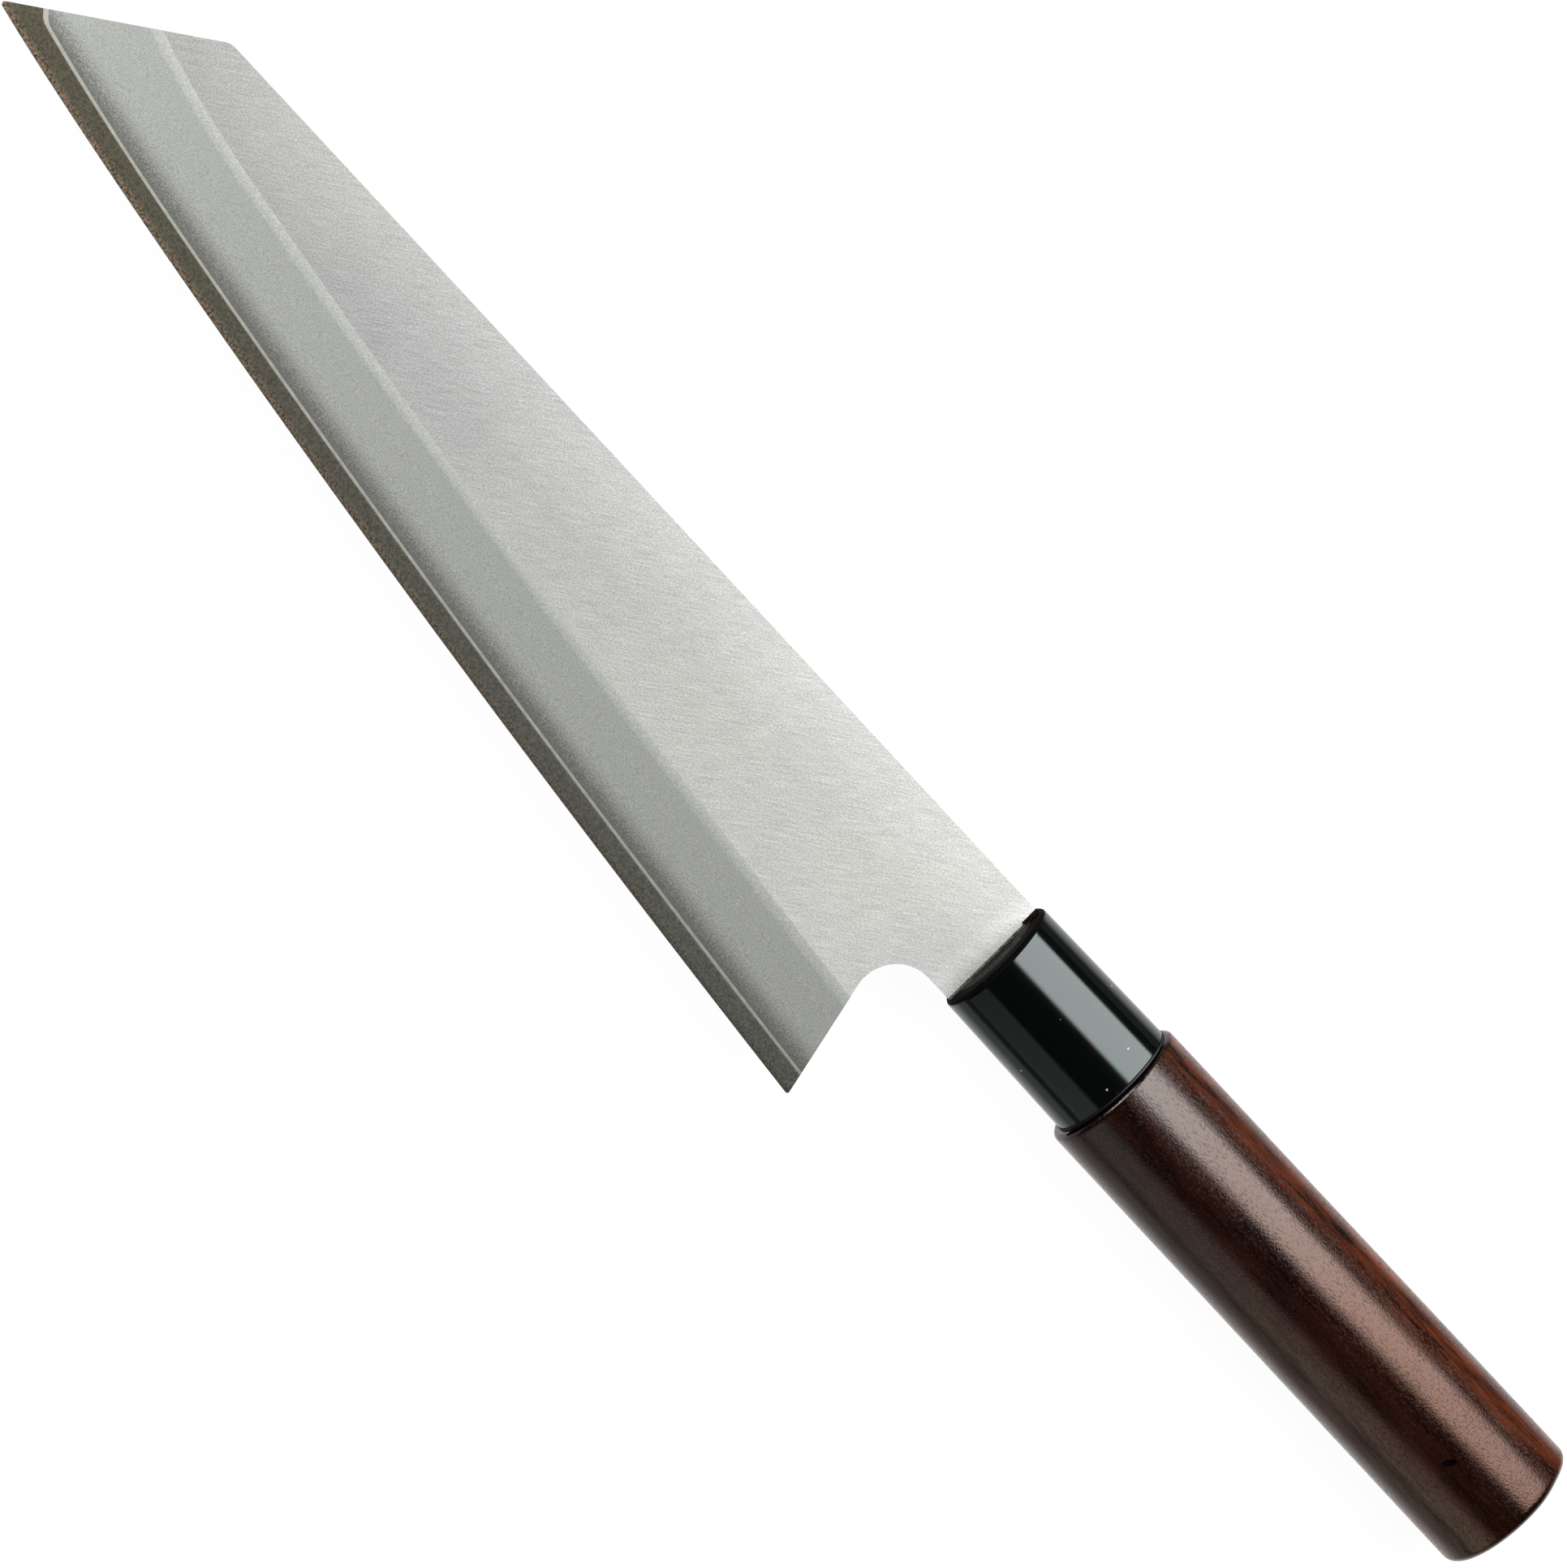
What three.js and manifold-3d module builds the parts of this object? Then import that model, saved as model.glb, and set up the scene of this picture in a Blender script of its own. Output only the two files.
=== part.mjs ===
// Kiritsuke kitchen knife: a laminated blade with a clipped tip, set by its stick tang in an oval
// wooden grip with a moulded ferrule. All sizes are in millimetres.

import * as THREE from 'three';
import { mergeVertices } from 'three/addons/utils/BufferGeometryUtils.js';
import Module from 'manifold-3d';

const wasm = await Module();
wasm.setup();

// Building frame: x = 0 at the mouth of the ferrule, growing towards the butt, y = 0 on the spine,
// falling towards the edge, and z = 0 on the middle plane of the blade.

// Blade outline
const BLADE_LENGTH = 215.9; // mouth of the ferrule to the corner of the tip
const TIP_DROP = 21.3; // spine line down to the corner of the tip
const TIP_RADIUS = 0.5;
const CLIP_LENGTH = 28.7; // run of the straight clip along the spine
const CLIP_CORNER_RADIUS = 2.5;
const HEEL_HEIGHT = 48.8; // spine down to the heel corner
const HEEL_SETBACK = 6.55; // heel corner ahead of the mouth of the ferrule
const HEEL_LEAN = THREE.MathUtils.degToRad(15.3);
const HEEL_CORNER_RADIUS = 0.4;
const CHOIL_RADIUS = 7.2; // round between the heel and the neck
const NECK_HEIGHT = 19.8;
const EDGE_TIP_ANGLE = THREE.MathUtils.degToRad(12.5); // edge against the spine, at the tip
const EDGE_TIP_REACH = 26; // how far that direction carries into the edge curve
const EDGE_HEEL_ANGLE = THREE.MathUtils.degToRad(5.2);
const EDGE_HEEL_REACH = 105;

// Blade section
const STOCK_THICKNESS = 2;
const CORE_THICKNESS = 0.6;
const FOIL_THICKNESS = 0.025;
const BEVEL_WIDTH = 17.4; // edge up to the ridge line
const BEVEL_TIP_GAIN = 5; // extra bevel width at the tip
const BEVEL_TIP_RUN = 45; // length over which that gain fades out
const EDGE_BEVEL_WIDTH = 0.5; // small sharpened bevel along the edge
const EDGE_BEVEL_THICKNESS = 0.28;
const EDGE_THICKNESS = 0.06;

// Tang
const TANG_STEP = 4.2; // shoulder on each side, where the neck narrows to the tang
const TANG_LENGTH = 80; // mouth of the ferrule to the end of the tang
const TANG_END_HEIGHT = 6;
const BED_THICKNESS = 1; // resin round the tang
const SHOULDER_CLEARANCE = 1; // shoulders of the neck to the bore of the ferrule

// Ferrule
const FERRULE_LENGTH = 28;
const AXIS_RISE = 0.15; // axis of the ferrule above the middle of the neck
const FERRULE_THICKNESS = 18; // at its rear
const FERRULE_FLARE = 0.45; // growth of each side from the mouth to the rear
const FERRULE_MOUTH_WALL = 0.55; // lower end of the slot to the outside
const FERRULE_FRONT_WALL = 4; // depth of the slot
const FERRULE_WALL = 2; // round the bore
const FERRULE_LIP_RADIUS = 0.6;
const SLOT_CLEARANCE = 0.15;

// Grip
const GRIP_LENGTH = 99.4; // shoulder to butt
const GRIP_STEP = 1.35; // wood standing proud of the ferrule
const GRIP_SWELL = 0.45; // growth of each side from the shoulder to the butt
const GRIP_DROP = 0.3; // axis of the grip below the axis of the ferrule
const GRIP_SHOULDER_RADIUS = 1.1;
const BUTT_RADIUS = 1.8;
const TENON_CLEARANCE = 0.3;
const TENON_END_GAP = 0.5;

// Glue and sealing resin
const GLUE_LINE = 0.3; // between the ferrule and the shoulder of the grip
const GLUE_INSET = 0.25; // rim of the glue below the outside of the ferrule
const FILM_GAP = 0.05; // between a film of resin and the pieces on both sides of it
const SEAL_REACH = 0.5; // bead of resin ahead of the ferrule, along the blade
const SEAL_FRONT_WIDTH = 0.2;
const SEAL_REAR_WIDTH = 0.6;

// Fineness of the curves, and how far cutting shapes run past what they cut
const EDGE_STEPS = 24;
const CORNER_STEPS = 6;
const OVAL_SEGMENTS = 48;
const OVERRUN = 5;

// Sizes that follow from those above
const stockHalf = STOCK_THICKNESS / 2;
const coreHalf = CORE_THICKNESS / 2;
const foilTop = coreHalf + FOIL_THICKNESS;
const neckY = -NECK_HEIGHT / 2;
const axisY = neckY + AXIS_RISE;
const neckDepth = FERRULE_FRONT_WALL - SHOULDER_CLEARANCE;
const tangHalf = NECK_HEIGHT / 2 - TANG_STEP;
const mouthHalf = NECK_HEIGHT / 2 + AXIS_RISE + SLOT_CLEARANCE + FERRULE_MOUTH_WALL;
const ferruleHalf = { height: mouthHalf + FERRULE_FLARE, thickness: FERRULE_THICKNESS / 2 };
const boreHalf = shrink(ferruleHalf, FERRULE_WALL);
const tenonHalf = shrink(boreHalf, TENON_CLEARANCE);
const shoulderHalf = shrink(ferruleHalf, -GRIP_STEP);
const tenonFront = FERRULE_FRONT_WALL + TENON_END_GAP;
const shoulderX = FERRULE_LENGTH + GLUE_LINE;
const buttX = shoulderX + GRIP_LENGTH;

/** An oval's half sizes, made smaller all round. */
function shrink(half, amount) {
  return { height: half.height - amount, thickness: half.thickness - amount };
}

/** The closed solid that a geometry bounds. */
function toSolid(geometry) {
  const bare = geometry.clone();
  bare.deleteAttribute('normal');
  bare.deleteAttribute('uv');
  const merged = mergeVertices(bare);
  const index = merged.index.array;
  const corners = [];
  for (let i = 0; i < index.length; i += 3) {
    const [a, b, c] = index.slice(i, i + 3);
    const isFlat = a === b || b === c || c === a;
    if (!isFlat) corners.push(a, b, c);
  }
  const vertProperties = new Float32Array(merged.attributes.position.array);
  const triVerts = new Uint32Array(corners);
  return new wasm.Manifold(new wasm.Mesh({ numProp: 3, vertProperties, triVerts }));
}

/** A named mesh of a solid, with crisp facets. */
function toMesh(name, solid, material) {
  const { vertProperties, triVerts } = solid.getMesh();
  const indexed = new THREE.BufferGeometry();
  indexed.setAttribute('position', new THREE.BufferAttribute(vertProperties, 3));
  indexed.setIndex(new THREE.BufferAttribute(triVerts, 1));
  const geometry = indexed.toNonIndexed();
  geometry.computeVertexNormals();
  const mesh = new THREE.Mesh(geometry, material);
  mesh.name = name;
  return mesh;
}

/** A flat outline in x and y, given thickness from one z to another. */
function plate(outline, lowZ, highZ) {
  const shape = new THREE.Shape(outline);
  const geometry = new THREE.ExtrudeGeometry(shape, { depth: highZ - lowZ, bevelEnabled: false });
  geometry.translate(0, 0, lowZ);
  return toSolid(geometry);
}

/** A solid of revolution about the handle's axis, pressed oval: profile points are (half height, x). */
function ovalTurning(profile, half, dropY = 0) {
  const geometry = new THREE.LatheGeometry(profile, OVAL_SEGMENTS);
  geometry.rotateZ(-Math.PI / 2);
  geometry.scale(1, 1, half.thickness / half.height);
  geometry.translate(0, axisY - dropY, 0);
  return toSolid(geometry);
}

/** A straight oval bar from one x to another. */
function ovalBar(half, startX, endX) {
  const profile = [
    new THREE.Vector2(0, startX),
    new THREE.Vector2(half.height, startX),
    new THREE.Vector2(half.height, endX),
    new THREE.Vector2(0, endX),
  ];
  return ovalTurning(profile, half);
}

/**
 * A solid through sections given as { x, ring }, each ring of (y, z) points anticlockwise. The two
 * halves of a ring are split into triangles in mirrored ways, so a symmetric form stays symmetric.
 */
function loft(sections) {
  const count = sections[0].ring.length;
  const points = sections.flatMap(({ x, ring }) => ring.map((p) => new THREE.Vector3(x, p.x, p.y)));
  const index = [];
  for (let k = 0; k + 1 < sections.length; k += 1) {
    for (let i = 0; i < count; i += 1) {
      const a = k * count + i;
      const b = k * count + ((i + 1) % count);
      const [c, d] = [b + count, a + count];
      if (i < count / 2) index.push(a, b, d, b, c, d);
      else index.push(a, b, c, a, c, d);
    }
  }
  const last = (sections.length - 1) * count;
  for (const [a, b, c] of THREE.ShapeUtils.triangulateShape(sections[0].ring, [])) index.push(a, c, b);
  for (const [a, b, c] of THREE.ShapeUtils.triangulateShape(sections.at(-1).ring, [])) {
    index.push(last + a, last + b, last + c);
  }
  const geometry = new THREE.BufferGeometry().setFromPoints(points);
  geometry.setIndex(index);
  return toSolid(geometry);
}

/** Points along the round that replaces a corner. */
function roundCorner(before, corner, after, radius) {
  const back = before.clone().sub(corner).normalize();
  const ahead = after.clone().sub(corner).normalize();
  const halfAngle = back.angleTo(ahead) / 2;
  const run = radius / Math.tan(halfAngle);
  const middle = back.clone().add(ahead).normalize();
  const centre = middle.multiplyScalar(radius / Math.sin(halfAngle)).add(corner);
  const start = back.clone().multiplyScalar(run).add(corner).sub(centre);
  const end = ahead.clone().multiplyScalar(run).add(corner).sub(centre);
  const isClockwise = start.cross(end) < 0;
  const arc = new THREE.EllipseCurve(
    centre.x, centre.y, radius, radius, start.angle(), end.angle(), isClockwise,
  );
  return arc.getPoints(CORNER_STEPS);
}

// Corners of the blade outline
const tip = new THREE.Vector2(-BLADE_LENGTH, -TIP_DROP);
const clipCorner = new THREE.Vector2(CLIP_LENGTH - BLADE_LENGTH, 0);
const spineEnd = new THREE.Vector2(neckDepth, 0);
const heel = new THREE.Vector2(-HEEL_SETBACK, -HEEL_HEIGHT);
const neckEnd = new THREE.Vector2(neckDepth, -NECK_HEIGHT);
const choil = new THREE.Vector2(heel.x - (HEEL_HEIGHT - NECK_HEIGHT) * Math.tan(HEEL_LEAN), -NECK_HEIGHT);
const edgeAtHeel = new THREE.Vector2(Math.cos(EDGE_HEEL_ANGLE), -Math.sin(EDGE_HEEL_ANGLE));
const edgeAtTip = new THREE.Vector2(Math.cos(EDGE_TIP_ANGLE), -Math.sin(EDGE_TIP_ANGLE));
const tipRound = roundCorner(clipCorner, tip, tip.clone().add(edgeAtTip), TIP_RADIUS);
const heelRound = roundCorner(heel.clone().sub(edgeAtHeel), heel, choil, HEEL_CORNER_RADIUS);

/** The cutting edge, from the round of the tip to the round of the heel. */
function edgeLine() {
  const start = tipRound.at(-1);
  const end = heelRound[0];
  const tipControl = edgeAtTip.clone().multiplyScalar(EDGE_TIP_REACH).add(start);
  const heelControl = edgeAtHeel.clone().multiplyScalar(-EDGE_HEEL_REACH).add(end);
  return new THREE.CubicBezierCurve(start, tipControl, heelControl, end).getPoints(EDGE_STEPS);
}

/** Half the height of the tang at a place along it, with an allowance all round. */
function tangHalfAt(x, grow) {
  const share = (x - neckDepth) / (TANG_LENGTH - neckDepth);
  return THREE.MathUtils.lerp(tangHalf, TANG_END_HEIGHT / 2, share) + grow;
}

/** The four corners of a stretch of the tang, with an allowance above and below. */
function tangOutline(startX, endX, grow) {
  return [
    new THREE.Vector2(startX, axisY - tangHalfAt(startX, grow)),
    new THREE.Vector2(endX, axisY - tangHalfAt(endX, grow)),
    new THREE.Vector2(endX, axisY + tangHalfAt(endX, grow)),
    new THREE.Vector2(startX, axisY + tangHalfAt(startX, grow)),
  ];
}

/** A stretch of the tang as a bar, with an allowance on every side. */
function tangBar(startX, endX, grow) {
  return plate(tangOutline(startX, endX, grow), -stockHalf - grow, stockHalf + grow);
}

/** The side view of the whole blade with its tang. */
function bladeOutline() {
  return [
    ...tipRound,
    ...edgeLine().slice(1, -1),
    ...heelRound,
    ...roundCorner(heel, choil, neckEnd, CHOIL_RADIUS),
    neckEnd,
    ...tangOutline(neckDepth, TANG_LENGTH, 0),
    spineEnd,
    ...roundCorner(spineEnd, clipCorner, tip, CLIP_CORNER_RADIUS),
  ];
}

/** The blade's cross-section where the edge is at a given height: flats, bevels and edge bevels. */
function bladeSection(edgeY, bevelWidth) {
  const ridgeY = edgeY + bevelWidth;
  const edgeBevelY = edgeY + EDGE_BEVEL_WIDTH;
  const edgeBevelHalf = EDGE_BEVEL_THICKNESS / 2;
  const edgeHalf = EDGE_THICKNESS / 2;
  const lowHalf = edgeHalf / 2;
  const lowY = edgeY - ((edgeHalf - lowHalf) * EDGE_BEVEL_WIDTH) / (edgeBevelHalf - edgeHalf);
  return [
    new THREE.Vector2(OVERRUN, -stockHalf),
    new THREE.Vector2(OVERRUN, stockHalf),
    new THREE.Vector2(ridgeY, stockHalf),
    new THREE.Vector2(edgeBevelY, edgeBevelHalf),
    new THREE.Vector2(lowY, lowHalf),
    new THREE.Vector2(lowY, -lowHalf),
    new THREE.Vector2(edgeBevelY, -edgeBevelHalf),
    new THREE.Vector2(ridgeY, -stockHalf),
  ];
}

/** The ground form of the blade: every layer is what it leaves of a flat plate. */
function groundForm() {
  const edge = edgeLine();
  const aheadOfTip = edgeAtTip.clone().multiplyScalar(-OVERRUN).add(tip);
  const behindTang = new THREE.Vector2(TANG_LENGTH + OVERRUN, edge.at(-1).y);
  const sections = [aheadOfTip, ...edge, behindTang].map((point) => {
    const fade = Math.max(0, 1 - (point.x - tip.x) / BEVEL_TIP_RUN);
    const bevelWidth = BEVEL_WIDTH + BEVEL_TIP_GAIN * fade ** 2;
    return { x: point.x, ring: bladeSection(point.y, bevelWidth) };
  });
  return loft(sections);
}

/** Points of a quarter round in a turning's profile, about a centre at (half height, x). */
function quarterRound(halfHeight, x, radius, startAngle) {
  const endAngle = startAngle + Math.PI / 2;
  const arc = new THREE.EllipseCurve(halfHeight, x, radius, radius, startAngle, endAngle);
  return arc.getPoints(CORNER_STEPS);
}

/** Moulded collar: lipped mouth with the neck's slot, and a bore from the rear. */
function ferruleSolid() {
  const lipCentre = mouthHalf - FERRULE_LIP_RADIUS;
  const outside = ovalTurning([
    new THREE.Vector2(0, 0),
    ...quarterRound(lipCentre, FERRULE_LIP_RADIUS, FERRULE_LIP_RADIUS, -Math.PI / 2),
    new THREE.Vector2(ferruleHalf.height, FERRULE_LENGTH),
    new THREE.Vector2(0, FERRULE_LENGTH),
  ], ferruleHalf);
  const bore = ovalBar(boreHalf, FERRULE_FRONT_WALL, FERRULE_LENGTH + OVERRUN);
  const slotGeometry = new THREE.BoxGeometry(
    tenonFront + OVERRUN, NECK_HEIGHT + 2 * SLOT_CLEARANCE, STOCK_THICKNESS + 2 * SLOT_CLEARANCE,
  );
  slotGeometry.translate((tenonFront - OVERRUN) / 2, neckY, 0);
  return outside.subtract(bore).subtract(toSolid(slotGeometry));
}

/** Wooden handle: oval bar with a tenon at the front and the tang's mortise inside. */
function gripSolid() {
  const buttHalf = shoulderHalf.height + GRIP_SWELL;
  const frontCentre = shoulderHalf.height - GRIP_SHOULDER_RADIUS;
  const buttCentre = buttHalf - BUTT_RADIUS;
  const outside = ovalTurning([
    new THREE.Vector2(0, shoulderX),
    ...quarterRound(frontCentre, shoulderX + GRIP_SHOULDER_RADIUS, GRIP_SHOULDER_RADIUS, -Math.PI / 2),
    ...quarterRound(buttCentre, buttX - BUTT_RADIUS, BUTT_RADIUS, 0),
    new THREE.Vector2(0, buttX),
  ], shoulderHalf, GRIP_DROP);
  const tenon = ovalBar(tenonHalf, tenonFront, shoulderX + OVERRUN);
  const mortise = tangBar(tenonFront - OVERRUN, TANG_LENGTH + BED_THICKNESS, BED_THICKNESS);
  return outside.add(tenon).subtract(mortise);
}

/** Resin round the tang, filling the mortise. */
function beddingSolid() {
  const film = BED_THICKNESS - FILM_GAP;
  const fill = tangBar(tenonFront, TANG_LENGTH + film, film);
  return fill.subtract(tangBar(tenonFront - OVERRUN, TANG_LENGTH + FILM_GAP, FILM_GAP));
}

/** Glue film round the tenon, with the ring squeezed out between ferrule and wood. */
function glueSolid() {
  const sleeve = ovalBar(shrink(boreHalf, FILM_GAP), tenonFront, shoulderX);
  const ring = ovalBar(shrink(ferruleHalf, GLUE_INSET), FERRULE_LENGTH, shoulderX);
  const hole = ovalBar(shrink(tenonHalf, -FILM_GAP), tenonFront - OVERRUN, shoulderX + OVERRUN);
  return sleeve.add(ring).subtract(hole);
}

/** Resin bead round the neck, on the mouth of the ferrule. */
function sealSolid() {
  const endHalf = NECK_HEIGHT / 2 + SLOT_CLEARANCE;
  const ringAt = (x, width) => {
    const half = stockHalf + width;
    const corners = [[endHalf, -half], [endHalf, half], [-endHalf, half], [-endHalf, -half]];
    return { x, ring: corners.map(([y, z]) => new THREE.Vector2(neckY + y, z)) };
  };
  const bead = loft([ringAt(-SEAL_REACH, SEAL_FRONT_WIDTH), ringAt(0, SEAL_REAR_WIDTH)]);
  const neckGeometry = new THREE.BoxGeometry(
    2 * (SEAL_REACH + OVERRUN), NECK_HEIGHT + 2 * FILM_GAP, STOCK_THICKNESS + 2 * FILM_GAP,
  );
  neckGeometry.translate(0, neckY, 0);
  return bead.subtract(toSolid(neckGeometry));
}

// Finishes
const claddingSteel = { color: 0xb4b6b2, roughness: 0.38, metalness: 1 };
const foilMetal = { color: 0xd6d6d2, roughness: 0.3, metalness: 1 };
const coreSteel = { color: 0x5c574f, roughness: 0.45, metalness: 1 };
const glossPlastic = { color: 0x0c0d0e, roughness: 0.12, metalness: 0 };
const stainedWood = { color: 0x4a2116, roughness: 0.35, metalness: 0 };
const sealResin = { color: 0x1c1612, roughness: 0.6, metalness: 0 };
const bedResin = { color: 0x7a6238, roughness: 0.4, metalness: 0 };
const blackGlue = { color: 0x0a0908, roughness: 0.5, metalness: 0 };

const outline = bladeOutline();
const ground = groundForm();

/** One layer of the blade, between two levels. */
function layer(lowZ, highZ) {
  return plate(outline, lowZ, highZ).intersect(ground);
}

const outerZ = stockHalf + OVERRUN;
const pieces = [
  ['core_steel', layer(-coreHalf, coreHalf), coreSteel],
  ['left_foil', layer(coreHalf, foilTop), foilMetal],
  ['right_foil', layer(-foilTop, -coreHalf), foilMetal],
  ['left_cladding', layer(foilTop, outerZ), claddingSteel],
  ['right_cladding', layer(-outerZ, -foilTop), claddingSteel],
  ['ferrule', ferruleSolid(), glossPlastic],
  ['grip', gripSolid(), stainedWood],
  ['neck_seal', sealSolid(), sealResin],
  ['tang_bedding', beddingSolid(), bedResin],
  ['ferrule_glue', glueSolid(), blackGlue],
];

// The knife lies on its right side, its origin below the middle of its box.
const knife = new THREE.Group();
for (const [name, solid, finish] of pieces) {
  knife.add(toMesh(name, solid, new THREE.MeshStandardMaterial(finish)));
}
const box = new THREE.Box3().setFromObject(knife);
const middle = box.getCenter(new THREE.Vector3());
knife.position.set(-middle.x, -middle.y, -box.min.z);

export default knife;
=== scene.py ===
"""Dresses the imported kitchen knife: models its pieces, gives each its finish and lights it.

The pieces are modelled in the maker's frame: x = 0 at the mouth of the ferrule and growing towards the
butt, y = 0 on the spine and falling towards the edge, z = 0 on the middle plane of the blade. Each
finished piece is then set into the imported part's own frame. Sizes are the real ones, in metres.
"""

import logging
import math
from contextlib import contextmanager
from dataclasses import dataclass
from enum import Enum
from functools import partial
from typing import Callable, Iterator, NamedTuple, Optional, Sequence, Union

import bmesh
import bpy
import numpy as np
from mathutils import Euler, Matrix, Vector

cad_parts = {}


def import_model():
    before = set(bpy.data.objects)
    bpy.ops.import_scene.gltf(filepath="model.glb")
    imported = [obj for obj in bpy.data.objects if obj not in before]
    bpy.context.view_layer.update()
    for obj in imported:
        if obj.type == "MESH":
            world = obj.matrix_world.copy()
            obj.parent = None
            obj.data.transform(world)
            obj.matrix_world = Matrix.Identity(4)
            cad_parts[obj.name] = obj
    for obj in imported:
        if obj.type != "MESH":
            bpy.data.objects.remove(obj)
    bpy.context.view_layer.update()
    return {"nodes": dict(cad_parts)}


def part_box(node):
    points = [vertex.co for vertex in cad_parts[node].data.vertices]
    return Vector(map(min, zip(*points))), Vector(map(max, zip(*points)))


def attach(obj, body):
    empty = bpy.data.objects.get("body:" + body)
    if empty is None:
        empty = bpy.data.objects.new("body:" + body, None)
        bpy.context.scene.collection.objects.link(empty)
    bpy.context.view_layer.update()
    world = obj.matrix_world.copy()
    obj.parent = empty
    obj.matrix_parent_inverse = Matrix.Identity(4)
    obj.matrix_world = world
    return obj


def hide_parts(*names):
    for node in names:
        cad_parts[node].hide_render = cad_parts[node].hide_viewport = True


MM = 0.001
HAIR = 1e-7  # points closer together than this are one point
NEAR = 10 * HAIR  # how far a place may drift over many extrusions
FACING = 0.5  # part of a face's normal along an axis, from which the face looks that way
ARC = 0.5  # profile of a bevel that is an arc of a circle
ROUND_STEPS = 8  # segments of a bevel that shows as a round
EASE_STEPS = 3  # segments of one that only breaks an edge
FINE_DETAIL = 3.0  # octaves of a noise that is finer than usual
FERRULE_TAPER = 0.45 * MM  # how much lower the mouth is than the rear, on each side
BODY = "root"

BRUSH_MAP = "brush"  # UV map laid along the scratches of the flats, in metres
ABOVE_EDGE = "above_edge"  # attribute: height above the cutting edge, in metres
ABOVE_RIDGE = "above_ridge"  # attribute: height above the ridge line, in metres

log = logging.getLogger("knife")

Span = tuple[float, float]
Socket = bpy.types.NodeSocket
Value = Union[Socket, float, tuple]


class Cut(Enum):
    """What a boolean leaves of a piece."""

    TAKE_AWAY = "DIFFERENCE"
    KEEP_SHARED = "INTERSECT"
    JOIN = "UNION"


class Element(Enum):
    """What is picked of a mesh in edit mode."""

    EDGE = "edges"
    FACE = "faces"


class RailPoint(NamedTuple):
    """A point of a drawn line. A handle bends the line on its side, and none leaves it straight."""

    at: Vector
    before: Optional[Vector] = None
    after: Optional[Vector] = None


@dataclass(frozen=True)
class Oval:
    """Half sizes of an oval section of the handle."""

    height: float
    thickness: float

    def grown(self, amount: float) -> "Oval":
        """The oval made larger all round."""
        return Oval(self.height + amount, self.thickness + amount)

    def scaled(self, height: float) -> "Oval":
        """The oval at another height, in the same proportions."""
        return Oval(height, self.thickness * height / self.height)

    def reach(self, off_axis: Vector) -> float:
        """How far out a place is: 1 on the oval and less inside it."""
        return math.hypot(off_axis.y / self.height, off_axis.z / self.thickness)


@dataclass(frozen=True)
class Datum:
    """Where the maker's frame and the handle's main places lie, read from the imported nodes."""

    origin: Vector
    axis_y: float
    ferrule_length: float
    ferrule_rear: Oval
    ferrule_mouth: Oval
    butt_x: float
    butt_half: float
    grip_y: float
    mouth_tilt: float = math.radians(1.6)  # spine side of the ferrule's mouth leans forwards

    @classmethod
    def from_frame(cls) -> "Datum":
        """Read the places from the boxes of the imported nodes.

        Returns:
            The places.
        """
        core_low, core_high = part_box("core_steel")
        ferrule_low, ferrule_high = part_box("ferrule")
        grip_low, grip_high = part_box("grip")
        origin = Vector((ferrule_low.x, core_high.y, (core_low.z + core_high.z) / 2))
        size = ferrule_high - ferrule_low
        rear = Oval(size.y / 2, size.z / 2)
        return cls(
            origin=origin,
            axis_y=(ferrule_low.y + ferrule_high.y) / 2 - origin.y,
            ferrule_length=size.x,
            ferrule_rear=rear,
            ferrule_mouth=rear.scaled(rear.height - FERRULE_TAPER),
            butt_x=grip_high.x - origin.x,
            butt_half=(grip_high.y - grip_low.y) / 2,
            grip_y=(grip_low.y + grip_high.y) / 2 - origin.y,
        )


# Modelling tools


def take_up(piece: bpy.types.Object) -> None:
    """Select one piece alone and make it the active one.

    Args:
        piece: The piece.
    """
    bpy.ops.object.select_all(action="DESELECT")
    piece.select_set(True)
    bpy.context.view_layer.objects.active = piece


@contextmanager
def editing(piece: bpy.types.Object) -> Iterator[None]:
    """Open a piece in edit mode, all of it selected, and close it afterwards.

    Args:
        piece: The piece.
    """
    take_up(piece)
    bpy.ops.object.mode_set(mode="EDIT")
    bpy.ops.mesh.select_all(action="SELECT")
    yield
    bpy.ops.object.mode_set(mode="OBJECT")


def pick(piece: bpy.types.Object, element: Element, wanted: Callable[..., bool]) -> None:
    """Select the edges or the faces that pass a test, and nothing else, in edit mode.

    Args:
        piece: Object that is open in edit mode.
        element: Whether edges or faces are tested.
        wanted: Test of one of them.
    """
    bpy.ops.mesh.select_mode(type=element.name)
    bpy.ops.mesh.select_all(action="DESELECT")
    mesh = bmesh.from_edit_mesh(piece.data)
    for found in filter(wanted, getattr(mesh, element.value)):
        found.select_set(True)
    bmesh.update_edit_mesh(piece.data)


def extrude(step: Vector) -> None:
    """Extrude what is selected by a step."""
    bpy.ops.mesh.extrude_region_move(TRANSFORM_OT_translate={"value": tuple(step)})


def face_outwards() -> None:
    """Merge doubles and turn all normals outwards, in edit mode."""
    bpy.ops.mesh.select_all(action="SELECT")
    bpy.ops.mesh.remove_doubles(threshold=HAIR)
    bpy.ops.mesh.normals_make_consistent(inside=False)


def apply_modifier(piece: bpy.types.Object, kind: str, **settings: object) -> None:
    """Add a modifier to a piece with its settings, and apply it.

    Args:
        piece: The piece.
        kind: Blender's name for the modifier's type.
        settings: Its properties.
    """
    take_up(piece)
    modifier = piece.modifiers.new(kind.lower(), kind)
    for name, value in settings.items():
        setattr(modifier, name, value)
    bpy.ops.object.modifier_apply(modifier=modifier.name)


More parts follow.
